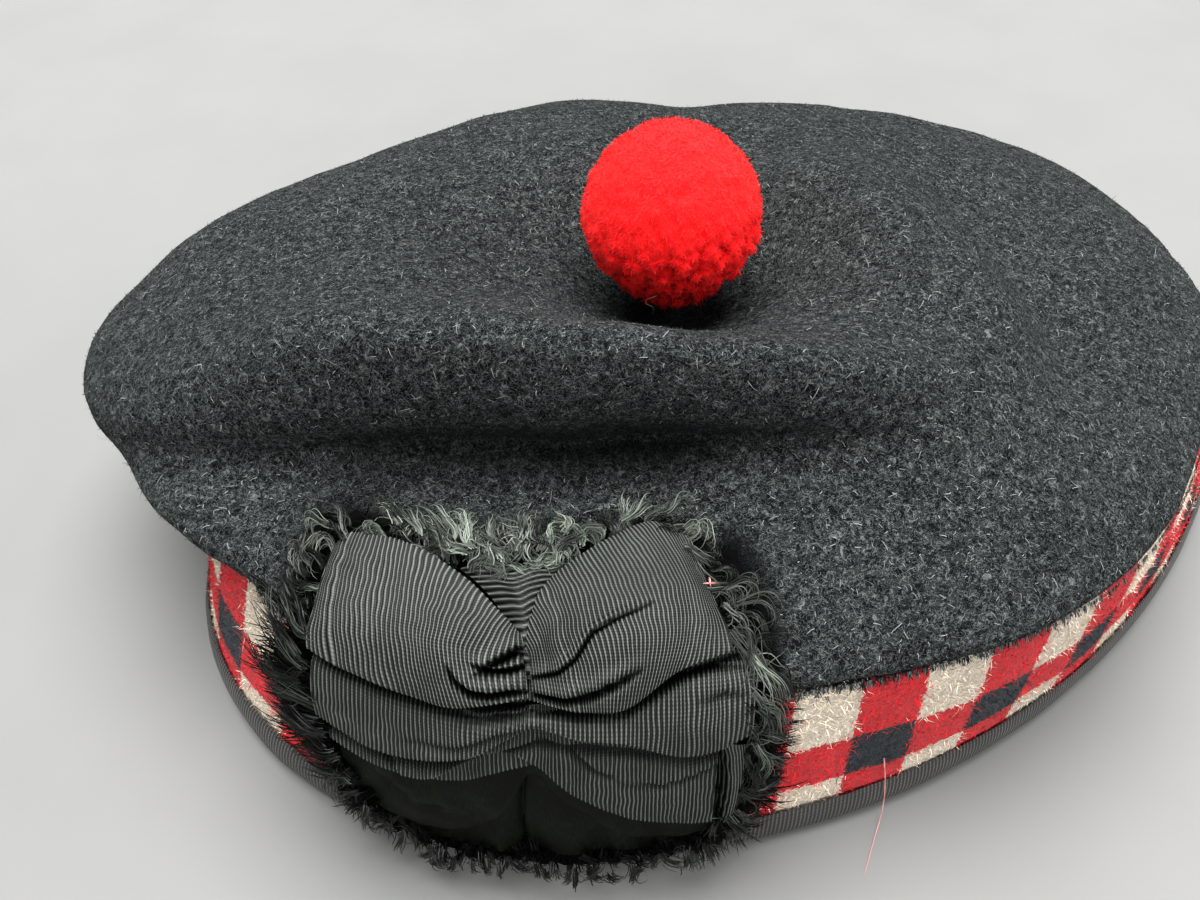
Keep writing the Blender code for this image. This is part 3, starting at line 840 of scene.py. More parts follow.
FINE_CLUMPS, BROAD_CLUMPS = 1500.0, 300.0  # repeats a metre of the felt's pale clumps
BEHIND_COCKADE = (-76, -48)  # fewer fibres grow here, where the cockade hides the felt
CROWN_NAP = (
    # name, count, steps, shortest, longest, width, curl, mean tone, spread of tones
    ("crown_nap", 84000, 2, 0.6, 1.2, 0.16, 0.0, 0.30, 0.22),
    ("crown_curls", 36000, 4, 1.2, 2.5, 0.14, 0.50, 0.80, 0.20),
    ("crown_stray_fibres", 900, 8, 1.5, 4.5, 0.11, 0.30, 0.95, 0.12),
)
BAND_NAP = (
    # name, count, steps, shortest, longest, width beside the full one
    ("diced_band_nap", 48000, 2, 0.8, 1.9, 1.0),
    ("diced_band_loose_nap", 10000, 3, 1.3, 2.8, 0.65),
)
TOORIE_PILE = (
    ("toorie_pile", 54000, 2, 0.6, 1.4, 1.0),
    ("toorie_loose_ends", 9000, 3, 0.9, 2.0, 0.6),
)


def felt_crown():
    """The crown's felt, with soft dents, and its nap of short crossing fibres."""
    crown = cloth_copy("crown", "crown_felt", 2, two_sided=True)
    undulate(crown.data, 34.0, 0.55, 1)
    undulate(crown.data, 9.0, 0.22, 2)
    # painted shade: open values that darken the felt and its nap in folds, creases and under the cockade
    paint_fold_shade([crown], reach=17.0, low=0.54, high=0.87, power=2.2, shades=("cockade_fringe",))
    finish_piece(crown, [NAVY_FELT, INNER_FELT])
    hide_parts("crown")
    random = np.random.default_rng(11)

    def outside(place, out, slot):
        away = np.abs(place[:, :2] - BEHIND_COCKADE)
        behind = (away[:, 0] < 22) & (away[:, 1] < 16) & (place[:, 2] < 44)
        return np.where(slot == 0, 1.0, 0.0) * np.where(behind, 0.25, 1.0)

    for name, count, steps, shortest, longest, widest, curl, mean, spread in CROWN_NAP:
        roots, out, _, clear = scatter(crown.data, count, random, outside)
        lengths = random.uniform(shortest, longest, count) * MM
        lean = tangent_lean(out, random, 0.45) * 1.2
        spines = fibre_spines(roots - out * 0.12 * MM, out, lengths, lean, 0.5, random, steps, curl)
        clumps = np.array([
            noise.noise(Vector(p) * FINE_CLUMPS) + 0.4 * noise.noise(Vector(p) * BROAD_CLUMPS)
            for p in roots
        ])
        # painted shade: each fibre's tone falls with the open value at its root
        tone = np.clip(mean + 0.16 * clumps + random.normal(0, spread, count), 0.05, 1) * clear
        width = random.uniform(0.55, 1.0, count) * widest * MM
        finish_piece(strands(name, spines, width, out, tone), [NAVY_NAP])
    return crown


# ---------------------------------------------------------------- diced band and edge binding


def map_strip(mesh, across, up):
    """A cloth map for a strip round the oval: a running length or column, and a height."""
    points = to_hat(points_of(mesh))
    corners = read(mesh.loops, "vertex_index")
    values, cycle = across(points)
    running = values[corners]
    first = np.repeat(
        running[read(mesh.polygons, "loop_start")], read(mesh.polygons, "loop_total")
    )
    running = running - np.round((running - first) / cycle) * cycle
    set_corner_map(mesh, np.stack([running, up(points)[corners]], 1))


def band_sections():
    """The band's CAD points in mm, angles at even steps round it, and the points near each angle."""
    solid = to_hat(points_of(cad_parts["diced_band"].data))
    places = np.arange(0, 360, SECTIONS_EVERY)
    near = np.abs((angle_round(solid)[None] - places[:, None] + 180) % 360 - 180) < 4
    return solid, places, near


def band_top(points):
    """The band's upper edge, in mm, at the angle of each point."""
    solid, places, near = band_sections()
    tops = np.array([solid[hit, 2].max() for hit in near])
    return np.interp(angle_round(points), places, tops, period=360)


def diced_band():
    """The band of knitted dicing and its woolly surface."""
    band = cloth_copy("diced_band", "diced_band_wool", 2)
    undulate(band.data, 12.0, 0.30, 5)
    map_strip(
        band.data,
        lambda points: (column_round(points), COLUMNS),
        lambda points: np.interp(band_top(points) - points[:, 2], CHECK_DEPTHS, range(4)),
    )
    finish_piece(band, [DICED_WOOL])
    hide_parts("diced_band")
    random = np.random.default_rng(21)

    def showing(place, out, slot):
        outward = (out[:, :2] * unit(place[:, :2])).sum(1) > 0.3
        return np.where(outward & (place[:, 2] > BINDING_TOP - 1), 1.0, 0.0)

    for name, count, steps, shortest, longest, slim in BAND_NAP:
        roots, out, cloth, _ = scatter(band.data, count, random, showing)
        cloth = cloth + random.normal(0, 0.080, cloth.shape)
        lean = tangent_lean(out, random, 0.2) * 1.1
        lengths = random.uniform(shortest, longest, count) * MM
        spines = fibre_spines(roots - out * 0.1 * MM, out, lengths, lean, 0.3, random, steps, 0.15)
        width = random.uniform(0.12, 0.24, count) * MM * slim
        nap = strands(name, spines, width, out, random.random(count), cloth=cloth)
        finish_piece(nap, [DICED_NAP])
    return band


TOOTH_PITCH = 1.3  # mm from one small point of felt to the next
TOOTH_THREADS = 14  # threads in each
TOOTH_WIDTH, TOOTH_LEAST, TOOTH_RISE = 0.42, 0.8, 1.0  # mm: a point's width, side and middle
TOORIE_SEAT = np.array([-16.0, 7.0])  # the crown's sections are drawn from here


def felt_teeth():
    """The felt's last stitches, which lie over the band's upper edge in small points."""
    random = np.random.default_rng(23)
    teeth = int(OVAL_ROUND / TOOTH_PITCH)
    middle = (np.arange(teeth) + random.uniform(0.15, 0.85, teeth)) * TOOTH_PITCH
    centre = np.repeat(middle, TOOTH_THREADS)
    where = centre + random.normal(0, 0.32, teeth * TOOTH_THREADS)
    reach = np.exp(-(((where - centre) / TOOTH_WIDTH) ** 2))
    length = (TOOTH_LEAST + TOOTH_RISE * reach) * random.uniform(0.5, 1.2, len(where))
    length *= np.repeat(random.uniform(0.6, 1.3, teeth), TOOTH_THREADS)
    angle = np.interp(where % OVAL_ROUND, OVAL_LENGTHS, OVAL_ANGLES)
    rim = oval(angle)
    top = band_top(np.concatenate([rim, np.zeros((len(rim), 1))], 1))
    solid, places, near = band_sections()
    insets = []
    for place, hit in zip(places, near):
        high = solid[hit & (solid[:, 2] > solid[hit, 2].max() - 1.0)]
        inset = (oval(np.full(len(high), place)) - high[:, :2]) @ unit(oval(place) - TOORIE_SEAT)
        insets.append(inset.min())
    inset = np.interp(angle, places, insets, period=360)
    inward = unit(TOORIE_SEAT - rim)
    root = np.concatenate([rim + inward * (inset + 0.1)[:, None], (top + 0.9)[:, None]], 1)
    outward = np.concatenate([-inward, np.zeros((len(rim), 1))], 1)
    t = np.linspace(0, 1, 3)[None, :, None]
    down = np.array([0.0, 0.0, -1.0])
    sway = np.stack([-inward[:, 1], inward[:, 0], np.zeros(len(rim))], 1)
    sway = sway * random.normal(0, 0.25, (len(rim), 1))
    path = down * t + outward[:, None] * (0.32 * np.sin(t * 2.4)) + sway[:, None] * t
    spine = to_metres(root[:, None] + path * length[:, None, None])
    tone = np.clip(random.beta(2.2, 2.0, len(where)), 0, 1)
    rows = strands(
        "felt_teeth", spine, random.uniform(0.10, 0.18, len(where)) * MM, unit(outward), tone
    )
    finish_piece(rows, [NAVY_NAP])


def edge_binding():
    """The grey grosgrain tape folded over the band's foot."""
    binding = cloth_copy("edge_binding", "edge_binding_tape", 2)
    undulate(binding.data, 7.0, 0.16, 8)
    points = to_hat(points_of(binding.data))
    high = np.clip((points[:, 2] - 2.5) / 4.0, 0, 1)
    points[:, 2] += 1.3 * high
    points[:, :2] *= (1 - 0.007 * high**2)[:, None]
    set_points(binding.data, to_metres(points))
    map_strip(
        binding.data,
        lambda points: (length_round(points) / RIB, OVAL_ROUND / RIB),
        lambda points: points[:, 2],
    )
    finish_piece(binding, [GREY_GROSGRAIN])
    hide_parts("edge_binding")
    return binding


# ---------------------------------------------------------------- toorie

TUFTS = 950
# Against the CAD ball's radius: the ball's own size, half a tuft's width, how far tufts stand out
# and how deep it is between them, and how much the foot is squeezed
BALL_SIZE = 1.025
TUFT_SIZE = 0.075
TUFT_RISE = 0.040
TUFT_DEPTH = 0.090
FOOT_SQUEEZE = 0.34


def spread_round(count, jitter, random):
    """Directions spread evenly round a ball, each moved a little."""
    steps = np.arange(count) + 0.5
    height = 1 - 2 * steps / count
    turn = steps * GOLDEN_TURN
    flat = np.sqrt(1 - height**2)
    ends = np.stack([flat * np.cos(turn), flat * np.sin(turn), height], 1)
    return unit(ends + random.normal(0, jitter, ends.shape))


def toorie():
    """The toorie: a ball of cut red yarn, clipped round on top and tufted where it meets the felt."""
    low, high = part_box("toorie")
    middle = np.array((low + high) / 2)
    half = np.array((high - low) / 2)
    random = np.random.default_rng(31)
    tufts = spread_round(TUFTS, 0.035, random)
    proud = np.clip(random.normal(0, 1, TUFTS), -1.5, 1.5)

    def pile(ends):
        """How far the cut pile reaches in each direction, and how deep it lies between tufts."""
        nearest = np.concatenate([(part @ tufts.T).argmax(1) for part in np.array_split(ends, 24)])
        apart = np.linalg.norm(ends - tufts[nearest], axis=1) / TUFT_SIZE
        deep = np.clip(apart, 0, 1.3) ** 2.2
        # how loose the tufts are, from the clipped top to the foot
        below = np.clip((0.25 - ends[:, 2] - 0.35 * ends[:, 1]) / 1.1, 0, 1)
        loose = 0.10 + 0.90 * below * below * (3 - 2 * below)
        reach = BALL_SIZE + TUFT_RISE * loose * proud[nearest] - TUFT_DEPTH * loose * deep
        # the felt's pit squeezes the ball's foot from the sides
        squeeze = 1 - FOOT_SQUEEZE * np.clip(-ends[:, 2:], 0, 1) ** 1.2 * np.array([1, 1, 0])
        return reach[:, None] * squeeze, deep * loose, proud[nearest] * loose

    core = cloth_copy("toorie", "toorie_core", 3)
    points = points_of(core.data)
    reach, deep, _ = pile(unit((points - middle) / half))
    lumps = [noise.fractal(Vector(p) * 330, 1.0, 2.0, 3) for p in points]
    set_points(core.data, middle + (points - middle) * (reach + 0.012 * np.array(lumps)[:, None]))
    # painted shade: the core darkens deep between the tufts
    set_values(core.data, "tone", np.clip(0.6 - 0.8 * deep, 0, 1))
    finish_piece(core, [RED_WOOL])
    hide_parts("toorie")

    for name, count, steps, shortest, longest, slim in TOORIE_PILE:
        roots, out, _, _ = scatter(core.data, count, random)
        _, deep, stands = pile(unit((roots - middle) / half))
        lean = tangent_lean(out, random, 0.1) * 1.5
        lengths = random.uniform(shortest, longest, count) * MM
        spines = fibre_spines(roots - out * 0.1 * MM, out, lengths, lean, 0.1, random, steps, 0.15)
        # painted highlight on proud tufts and painted shade deep between them
        tone = np.clip(0.72 + 0.12 * stands - 0.6 * deep + random.normal(0, 0.13, count), 0, 1)
        width = random.uniform(0.16, 0.28, count) * MM * slim
        finish_piece(strands(name, spines, width, out, tone), [RED_WOOL])


# ---------------------------------------------------------------- cockade ribbons


def bell(away, width):
    """1 at no distance, falling off smoothly over a width."""
    return np.exp(-(away**2) / (2 * width**2))


def crease(cloth, line, depth, width, lip=0.0):
    """Presses a crease into cloth points along a line of (u, w): it falls on the lower side of the
    line, and lip raises the upper side, as where one fold hangs over the next. Gives back how far
    each point is pressed in, from 0 to 1."""
    line = np.asarray(line, float)
    flat = cloth[..., :2].reshape(-1, 2)
    nearest = np.full(len(flat), 1e9)
    side = np.zeros(len(flat))
    along = np.zeros(len(flat))
    total = len(line) - 1
    for i, (a, b) in enumerate(zip(line, line[1:])):
        step = b - a
        share = np.clip(((flat - a) @ step) / (step @ step), 0, 1)
        gap = flat - (a + share[:, None] * step)
        away = np.linalg.norm(gap, axis=1)
        closer = away < nearest
        nearest = np.where(closer, away, nearest)
        side = np.where(closer, np.sign(step[0] * gap[:, 1] - step[1] * gap[:, 0]), side)
        along = np.where(closer, (i + share) / total, along)
    fade = np.sin(np.pi * np.clip(along, 0.04, 0.96)) ** 0.5
    signed = nearest * side
    below = bell(signed + 0.25 * width, width * np.where(signed > 0, 0.35, 0.9))
    above = np.where(signed > 0, bell(signed - width, 1.6 * width), 0)
    change = (-depth * below + lip * above) * fade
    cloth[..., 2] += change.reshape(cloth.shape[:-1])
    return (below * np.clip(fade * min(depth, 1.0) * 1.4, 0, 1)).reshape(cloth.shape[:-1])


def ribbon_panel(name, table, ribs, steps, creases=(), rib_height=0.13, per_rib=4, wave=0.25, seed=0):
    """One ribbon panel. Each row of the table runs across the ribs, which keep an even pitch, and
    steps says how many mesh rows each span between rows gets."""
    rows, columns = len(table), ribs * per_rib + 1
    across = np.linspace(0, 1, columns)
    control = np.array(table, float)
    gaps = np.linalg.norm(np.diff(control[:-1, :, :2], axis=1), axis=2).mean(0)
    shares = np.concatenate([[0], np.cumsum(gaps)]) / gaps.sum()
    wide = spline(control.transpose(1, 0, 2), np.interp(across, shares, range(len(shares))))
    at = np.concatenate([
        row + np.arange(count) / count for row, count in zip(range(rows - 1), steps)
    ] + [[rows - 1]])
    cloth = spline(wide.transpose(1, 0, 2), at)
    pressed = np.zeros(cloth.shape[:2])
    for line in creases:
        pressed = np.maximum(pressed, crease(cloth, *line))
    offset = Vector((seed * 5.3, seed * 2.1, 0.0))
    soft = [
        noise.fractal(Vector((p[0] * 0.16, p[1] * 0.10, 0)) + offset, 1.0, 2.0, 2)
        for p in cloth.reshape(-1, 3)
    ]
    cloth[..., 2] += wave * np.array(soft).reshape(cloth.shape[:2])
    sway = [noise.noise(Vector((p[0] * 0.35, p[1] * 0.55, 1.0)) + offset) for p in cloth.reshape(-1, 3)]
    sideways = across[None] * ribs + 0.35 * np.array(sway).reshape(cloth.shape[:2])
    cloth[..., 2] += rib_height * np.cos(2 * math.pi * sideways)
    grid = bmesh.new()
    bmesh.ops.create_grid(grid, x_segments=columns - 1, y_segments=len(at) - 1, size=1.0)
    mesh = mesh_from(name, grid)
    flat = points_of(mesh).round(6)
    order = np.argsort(np.lexsort((flat[:, 0], flat[:, 1])))  # the ribbon's point at each mesh point
    cloth, sideways, pressed = cloth[::-1], sideways[::-1], pressed[::-1]
    set_points(mesh, draped(cloth).reshape(-1, 3)[order])
    # painted shade: the pressed value darkens the creases through the open value
    set_values(mesh, "pressed", pressed.ravel()[order])
    if mesh.uv_layers:
        mesh.uv_layers.remove(mesh.uv_layers[0])
    set_cloth_map(mesh, np.stack([sideways, cloth[..., 1] / RIB], -1).reshape(-1, 2)[order])
    return placed(name, mesh)


# The ribbon panels, row by row from the top edge down, each row from left to right: u along the
# hat's side, w up it and how far off it, in millimetres
LEFT_LOBE = (
    (
        (-23.4, 48.2, 3.2), (-21.6, 49.8, 3.4), (-14.6, 50.0, 3.6), (-7.6, 47.2, 3.6), (-2.4, 43.8, 3.4),
        (0.2, 41.9, 3.0),
    ),
    (
        (-24.4, 49.0, 4.2), (-22.0, 51.0, 4.7), (-14.6, 51.3, 5.2), (-7.4, 48.5, 5.4), (-2.4, 44.9, 5.0),
        (0.2, 42.7, 4.2),
    ),
    (
        (-25.6, 44.6, 4.6), (-23.2, 45.2, 5.2), (-14.9, 45.2, 6.4), (-9.1, 44.2, 6.5), (-4.0, 42.6, 5.6),
        (0.5, 41.7, 4.0),
    ),
    (
        (-26.4, 40.6, 4.8), (-23.5, 41.0, 5.8), (-14.9, 41.2, 7.2), (-9.8, 40.6, 7.1), (-5.2, 40.2, 5.9),
        (0.5, 40.4, 4.2),
    ),
    (
        (-27.0, 38.6, 5.0), (-23.0, 38.4, 6.1), (-14.2, 38.5, 7.4), (-9.2, 38.3, 7.2), (-4.8, 38.6, 6.2),
        (0.9, 39.0, 4.6),
    ),
    (
        (-26.9, 37.1, 5.0), (-22.6, 36.8, 6.0), (-13.4, 36.4, 7.0), (-8.2, 36.1, 6.9), (-3.6, 36.5, 6.2),
        (1.2, 37.1, 4.8),
    ),
    (
        (-26.7, 37.8, 3.4), (-22.6, 37.6, 4.2), (-13.4, 37.3, 5.2), (-8.2, 37.0, 5.2), (-3.6, 37.3, 4.8),
        (1.0, 37.6, 3.6),
    ),
)
RIGHT_LOBE = (
    (
        (0.6, 41.0, 3.0), (2.2, 44.0, 3.4), (4.4, 47.8, 3.6), (10.2, 52.4, 3.6), (16.2, 55.4, 3.4),
        (20.4, 53.8, 3.0),
    ),
    (
        (0.7, 41.3, 4.2), (1.3, 44.6, 5.0), (3.3, 48.8, 5.4), (9.3, 53.5, 5.2), (16.0, 56.7, 4.8),
        (21.3, 54.6, 4.2),
    ),
    (
        (1.2, 40.6, 4.2), (2.6, 42.6, 5.6), (5.0, 45.2, 6.4), (11.6, 49.2, 6.6), (18.8, 51.8, 5.8),
        (22.8, 50.2, 4.6),
    ),
    (
        (1.4, 39.4, 4.4), (3.2, 40.8, 5.4), (5.6, 42.2, 6.6), (13.0, 45.2, 7.0), (20.6, 47.4, 6.2),
        (24.2, 46.0, 4.8),
    ),
    (
        (1.6, 38.2, 4.6), (3.8, 38.6, 5.6), (7.0, 39.4, 6.6), (14.0, 40.8, 7.2), (21.0, 43.0, 6.4),
        (25.6, 43.0, 4.8),
    ),
    (
        (1.8, 36.8, 4.6), (4.4, 36.7, 5.8), (8.0, 36.6, 6.8), (13.2, 36.9, 7.0), (19.6, 39.3, 6.4),
        (26.2, 40.6, 5.0),
    ),
    (
        (1.8, 37.4, 3.6), (4.4, 37.4, 4.6), (8.0, 37.5, 5.2), (13.2, 37.8, 5.2), (19.2, 40.3, 4.6),
        (25.8, 41.7, 3.4),
    ),
)
PLEAT = (
    ((-8.2, 50.2, 2.4), (-5.4, 48.2, 3.2), (-2.8, 45.6, 3.4), (-1.2, 42.6, 3.2), (-1.2, 38.6, 2.6)),
    ((-5.4, 51.0, 2.8), (-3.0, 48.4, 4.0), (-1.2, 45.8, 4.2), (-0.3, 42.6, 3.8), (-0.4, 38.4, 3.0)),
    ((-1.8, 50.6, 3.0), (-0.8, 48.2, 4.4), (0.2, 45.8, 4.6), (0.5, 42.6, 4.0), (0.4, 38.4, 3.0)),
    ((1.6, 51.8, 3.0), (1.4, 49.2, 4.2), (1.6, 46.6, 4.4), (1.4, 42.8, 3.8), (1.4, 38.4, 3.0)),
    ((5.4, 52.4, 2.4), (4.6, 50.0, 3.2), (3.4, 47.2, 3.4), (2.2, 43.0, 3.2), (2.6, 38.4, 2.6)),
)
UPPER_TIER = (
    (
        (-26.4, 39.6, 2.2), (-20.0, 39.4, 2.6), (-13.4, 39.0, 3.0), (-7.0, 38.8, 3.0), (-1.6, 38.8, 2.8),
        (2.0, 38.8, 2.8), (7.5, 39.0, 3.0), (13.6, 39.6, 3.2), (20.5, 41.8, 3.0), (25.0, 42.8, 2.6),
        (27.8, 42.8, 2.2),
    ),
    (
        (-26.6, 37.4, 2.4), (-20.0, 37.3, 2.9), (-13.4, 37.0, 3.4), (-7.0, 36.9, 3.5), (-1.6, 37.3, 3.2),
        (2.0, 37.6, 3.2), (7.5, 37.5, 3.6), (13.6, 37.9, 3.8), (20.5, 40.0, 3.6), (25.0, 40.8, 3.2),
        (28.0, 41.0, 2.6),
    ),
    (
        (-27.0, 35.3, 3.6), (-20.0, 35.1, 4.6), (-13.4, 35.0, 5.3), (-7.0, 35.0, 5.3), (-1.6, 35.7, 4.4),
        (2.0, 36.2, 4.4), (7.5, 35.9, 5.0), (13.6, 36.0, 5.4), (20.5, 37.9, 5.0), (25.0, 38.9, 4.4),
        (28.4, 39.4, 3.6),
    ),
    (
        (-27.4, 32.0, 4.2), (-20.2, 31.6, 5.5), (-13.4, 31.8, 6.2), (-7.0, 33.0, 6.2), (-1.6, 34.6, 5.4),
        (2.0, 35.4, 5.2), (7.5, 35.1, 5.8), (13.6, 34.9, 6.2), (20.5, 35.2, 6.0), (25.0, 36.0, 5.2),
        (28.9, 36.6, 4.2),
    ),
    (
        (-27.2, 28.4, 4.4), (-20.4, 27.9, 6.0), (-13.4, 28.8, 6.9), (-7.0, 31.0, 6.8), (-1.6, 33.5, 5.8),
        (2.0, 34.7, 5.4), (7.5, 34.3, 6.2), (13.6, 33.9, 6.6), (20.5, 31.9, 6.3), (25.0, 31.8, 5.5),
        (28.8, 32.4, 4.2),
    ),
    (
        (-27.0, 29.0, 3.0), (-20.4, 28.7, 4.4), (-13.4, 29.6, 5.0), (-7.0, 31.8, 5.2), (-1.6, 34.1, 4.8),
        (2.0, 35.2, 4.6), (7.5, 35.0, 5.0), (13.6, 34.7, 5.2), (20.5, 32.9, 4.8), (25.0, 32.9, 4.2),
        (28.4, 33.4, 3.0),
    ),
)
LOWER_TIER = (
    (
        (-26.2, 31.4, 2.2), (-20.0, 31.0, 2.8), (-13.3, 31.6, 3.2), (-7.5, 33.4, 3.4), (-1.9, 35.2, 3.4),
        (1.9, 36.2, 3.4), (6.2, 36.0, 3.6), (12.9, 35.6, 3.6), (19.0, 34.0, 3.2), (24.8, 33.8, 2.6),
    ),
    (
        (-26.4, 27.6, 2.2), (-20.0, 27.2, 2.9), (-13.3, 28.0, 3.5), (-7.5, 30.2, 3.8), (-1.9, 32.9, 3.9),
        (1.9, 34.3, 3.9), (6.2, 33.9, 4.0), (12.9, 33.1, 4.1), (19.0, 31.2, 3.8), (24.8, 30.6, 3.0),
    ),
    (
        (-26.4, 25.6, 2.8), (-20.0, 25.2, 3.8), (-13.3, 26.0, 4.5), (-7.5, 29.2, 4.8), (-1.9, 31.8, 4.6),
        (1.9, 31.6, 4.6), (6.2, 29.6, 5.0), (12.9, 29.4, 5.2), (19.0, 28.0, 5.0), (24.8, 27.2, 4.2),
    ),
    (
        (-26.2, 23.6, 3.4), (-20.0, 23.2, 4.6), (-13.3, 24.0, 5.4), (-7.5, 27.8, 5.6), (-1.9, 30.4, 4.9),
        (1.9, 28.8, 4.7), (6.2, 24.4, 5.2), (12.9, 20.6, 5.6), (19.0, 18.5, 5.4), (24.6, 17.3, 4.6),
    ),
    (
        (-26.0, 24.4, 2.4), (-20.0, 24.0, 3.4), (-13.3, 24.9, 4.0), (-7.5, 28.6, 4.4), (-1.9, 31.1, 4.2),
        (1.9, 29.7, 3.8), (6.2, 25.3, 4.2), (12.9, 21.6, 4.2), (19.0, 19.6, 4.0), (24.6, 18.3, 3.4),
    ),
)
UNDER_TIER = (
    ((-17.0, 27.0, 3.0), (-12.0, 27.4, 3.2), (-7.8, 29.0, 3.4), (-4.0, 30.4, 3.4), (1.4, 31.6, 3.2)),
    ((-16.6, 24.6, 3.4), (-12.0, 25.0, 3.8), (-7.8, 26.6, 4.0), (-4.0, 28.2, 3.9), (1.6, 29.9, 3.6)),
    ((-16.2, 22.5, 3.4), (-12.0, 22.7, 4.0), (-7.8, 24.0, 4.3), (-4.0, 25.9, 4.2), (1.8, 28.2, 3.8)),
    ((-16.2, 23.3, 2.6), (-12.0, 23.5, 3.2), (-7.8, 24.8, 3.4), (-4.0, 26.7, 3.4), (1.8, 28.9, 3.0)),
)
SIDE_FLAP = (
    ((24.0, 31.9, 3.8), (25.6, 32.2, 4.8), (27.2, 31.2, 4.4), (28.6, 29.4, 3.0)),
    ((25.0, 28.4, 1.8), (26.3, 28.6, 4.6), (27.7, 27.8, 4.4), (29.0, 26.8, 2.8)),
    ((25.6, 23.0, 1.2), (26.7, 23.0, 4.6), (28.0, 22.6, 4.2), (29.1, 22.2, 2.6)),
    ((25.6, 18.0, 1.2), (26.5, 17.6, 4.2), (27.6, 17.2, 3.8), (28.6, 17.4, 2.4)),
    ((25.4, 15.6, 1.4), (26.2, 15.0, 3.4), (27.0, 14.8, 3.2), (28.0, 15.6, 2.2)),
)
NOTCH_CREASE = ((1.0, 41.0), (-0.2, 41.3), (-1.4, 40.6), (-3.3, 39.7), (-4.8, 38.9))
LEFT_PUCKER = ((-8.2, 38.7), (-7.4, 38.0), (-5.8, 37.4), (-3.6, 37.3), (-1.2, 37.6), (0.8, 37.7))
MIDDLE_PUCKER = ((-5.2, 39.3), (-3.4, 39.0), (-1.2, 39.3), (1.2, 39.9))
RIGHT_FOLD = ((1.0, 38.7), (4.8, 39.4), (6.9, 40.6), (8.9, 43.0), (11.9, 44.4), (16.0, 45.8))
RIGHT_PUCKER = ((1.0, 37.5), (5.6, 37.4), (9.0, 37.9), (12.0, 38.7), (14.4, 39.5))


def below_hem(table, gap):
    """A line of (u, w) below a panel's hem, which is the last row but one of its table, and a little
    past its ends. gap may change along u: a list of (u, gap)."""
    at, gaps = zip(*gap)
    line = [(u, w - float(np.interp(u, at, gaps))) for u, w, _ in table[-2]]
    return [(line[0][0] - 3.0, line[0][1]), *line, (line[-1][0] + 3.0, line[-1][1])]


def cockade_ribbons():
    """The folded grosgrain of the cockade: two lobes, the pleat between them and the tiers below."""
    left = ribbon_panel(
        "cockade_left_lobe", LEFT_LOBE, 46, (3, 20, 18, 18, 14, 4),
        [
            (NOTCH_CREASE[::-1], 2.0, 0.42, 0.6), (LEFT_PUCKER, 2.2, 0.28, 0.7),
            (MIDDLE_PUCKER, 1.8, 0.30, 0.5),
        ],
        seed=1,
    )
    right = ribbon_panel(
        "cockade_right_lobe", RIGHT_LOBE, 52, (3, 16, 18, 20, 14, 4),
        [(RIGHT_FOLD, 1.0, 0.20, 1.0), (RIGHT_PUCKER, 2.2, 0.28, 0.7)],
        seed=2,
    )
    pleat = ribbon_panel(
        "cockade_pleat", PLEAT, 16, (6, 6, 6, 6), rib_height=0.22, per_rib=6, wave=0.5, seed=3
    )
    upper = ribbon_panel(
        "cockade_upper_tier", UPPER_TIER, 100, (2, 10, 9, 8, 3),
        [
            # creases under the lobes' hems, whose pressed values add painted shadow there
            (below_hem(LEFT_LOBE, ((-20, 0.55), (0, 0.6))), 1.3, 0.42, 0.0),
            (below_hem(RIGHT_LOBE, ((0, 0.55), (20, 0.3))), 1.3, 0.42, 0.0),
            (((-9.0, 35.3), (-5.0, 35.0), (-1.0, 35.4), (2.0, 35.9)), 0.9, 0.35, 0.4),
            (((-4.0, 36.0), (-2.4, 35.8), (-0.6, 36.1)), 1.6, 0.35, 0.0),
            (((1.2, 36.4), (2.6, 36.0), (4.2, 36.2)), 1.8, 0.40, 0.0),
            (((-14.0, 31.6), (-8.0, 32.3), (-3.0, 33.9), (2.0, 34.9)), 0.4, 0.5, 0.4),
            (((16.0, 38.0), (20.0, 39.2), (24.0, 39.6), (27.5, 39.0)), 0.7, 0.4, 0.4),
            (((22.0, 36.8), (25.0, 37.2), (28.0, 36.8)), 0.5, 0.4, 0.3),
        ],
        seed=4,
    )
    lower = ribbon_panel(
        "cockade_lower_tier", LOWER_TIER, 98, (2, 9, 14, 3),
        [
            # a crease under the upper tier's hem, whose pressed value adds painted shadow there
            (below_hem(UPPER_TIER, ((-26, 2.9), (-5, 2.4), (8, 1.9), (14, 2.2), (25, 2.6))), 0.9, 0.6, 0.0),
            (((-19.0, 27.0), (-18.0, 25.8), (-17.0, 24.6)), 2.6, 0.6, 1.0),
            (((2.5, 33.2), (6.0, 32.0), (9.0, 29.0), (12.0, 27.6)), 0.8, 0.5, 0.4),
            (((13.0, 26.8), (17.0, 26.0), (21.0, 26.6), (24.6, 27.4)), 0.8, 0.45, 0.4),
        ],
        seed=5,
    )
    under = ribbon_panel("cockade_under_tier", UNDER_TIER, 32, (3, 8, 3), seed=6)
    flap = ribbon_panel(
        "cockade_side_flap", SIDE_FLAP, 9, (8, 10, 10, 6), rib_height=0.06, seed=7
    )
    for piece in (left, right, pleat, upper, lower, under, flap):
        finish_piece(piece, [BLACK_GROSGRAIN])
    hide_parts("cockade_bow")
    return left, right, pleat, upper, lower, under, flap


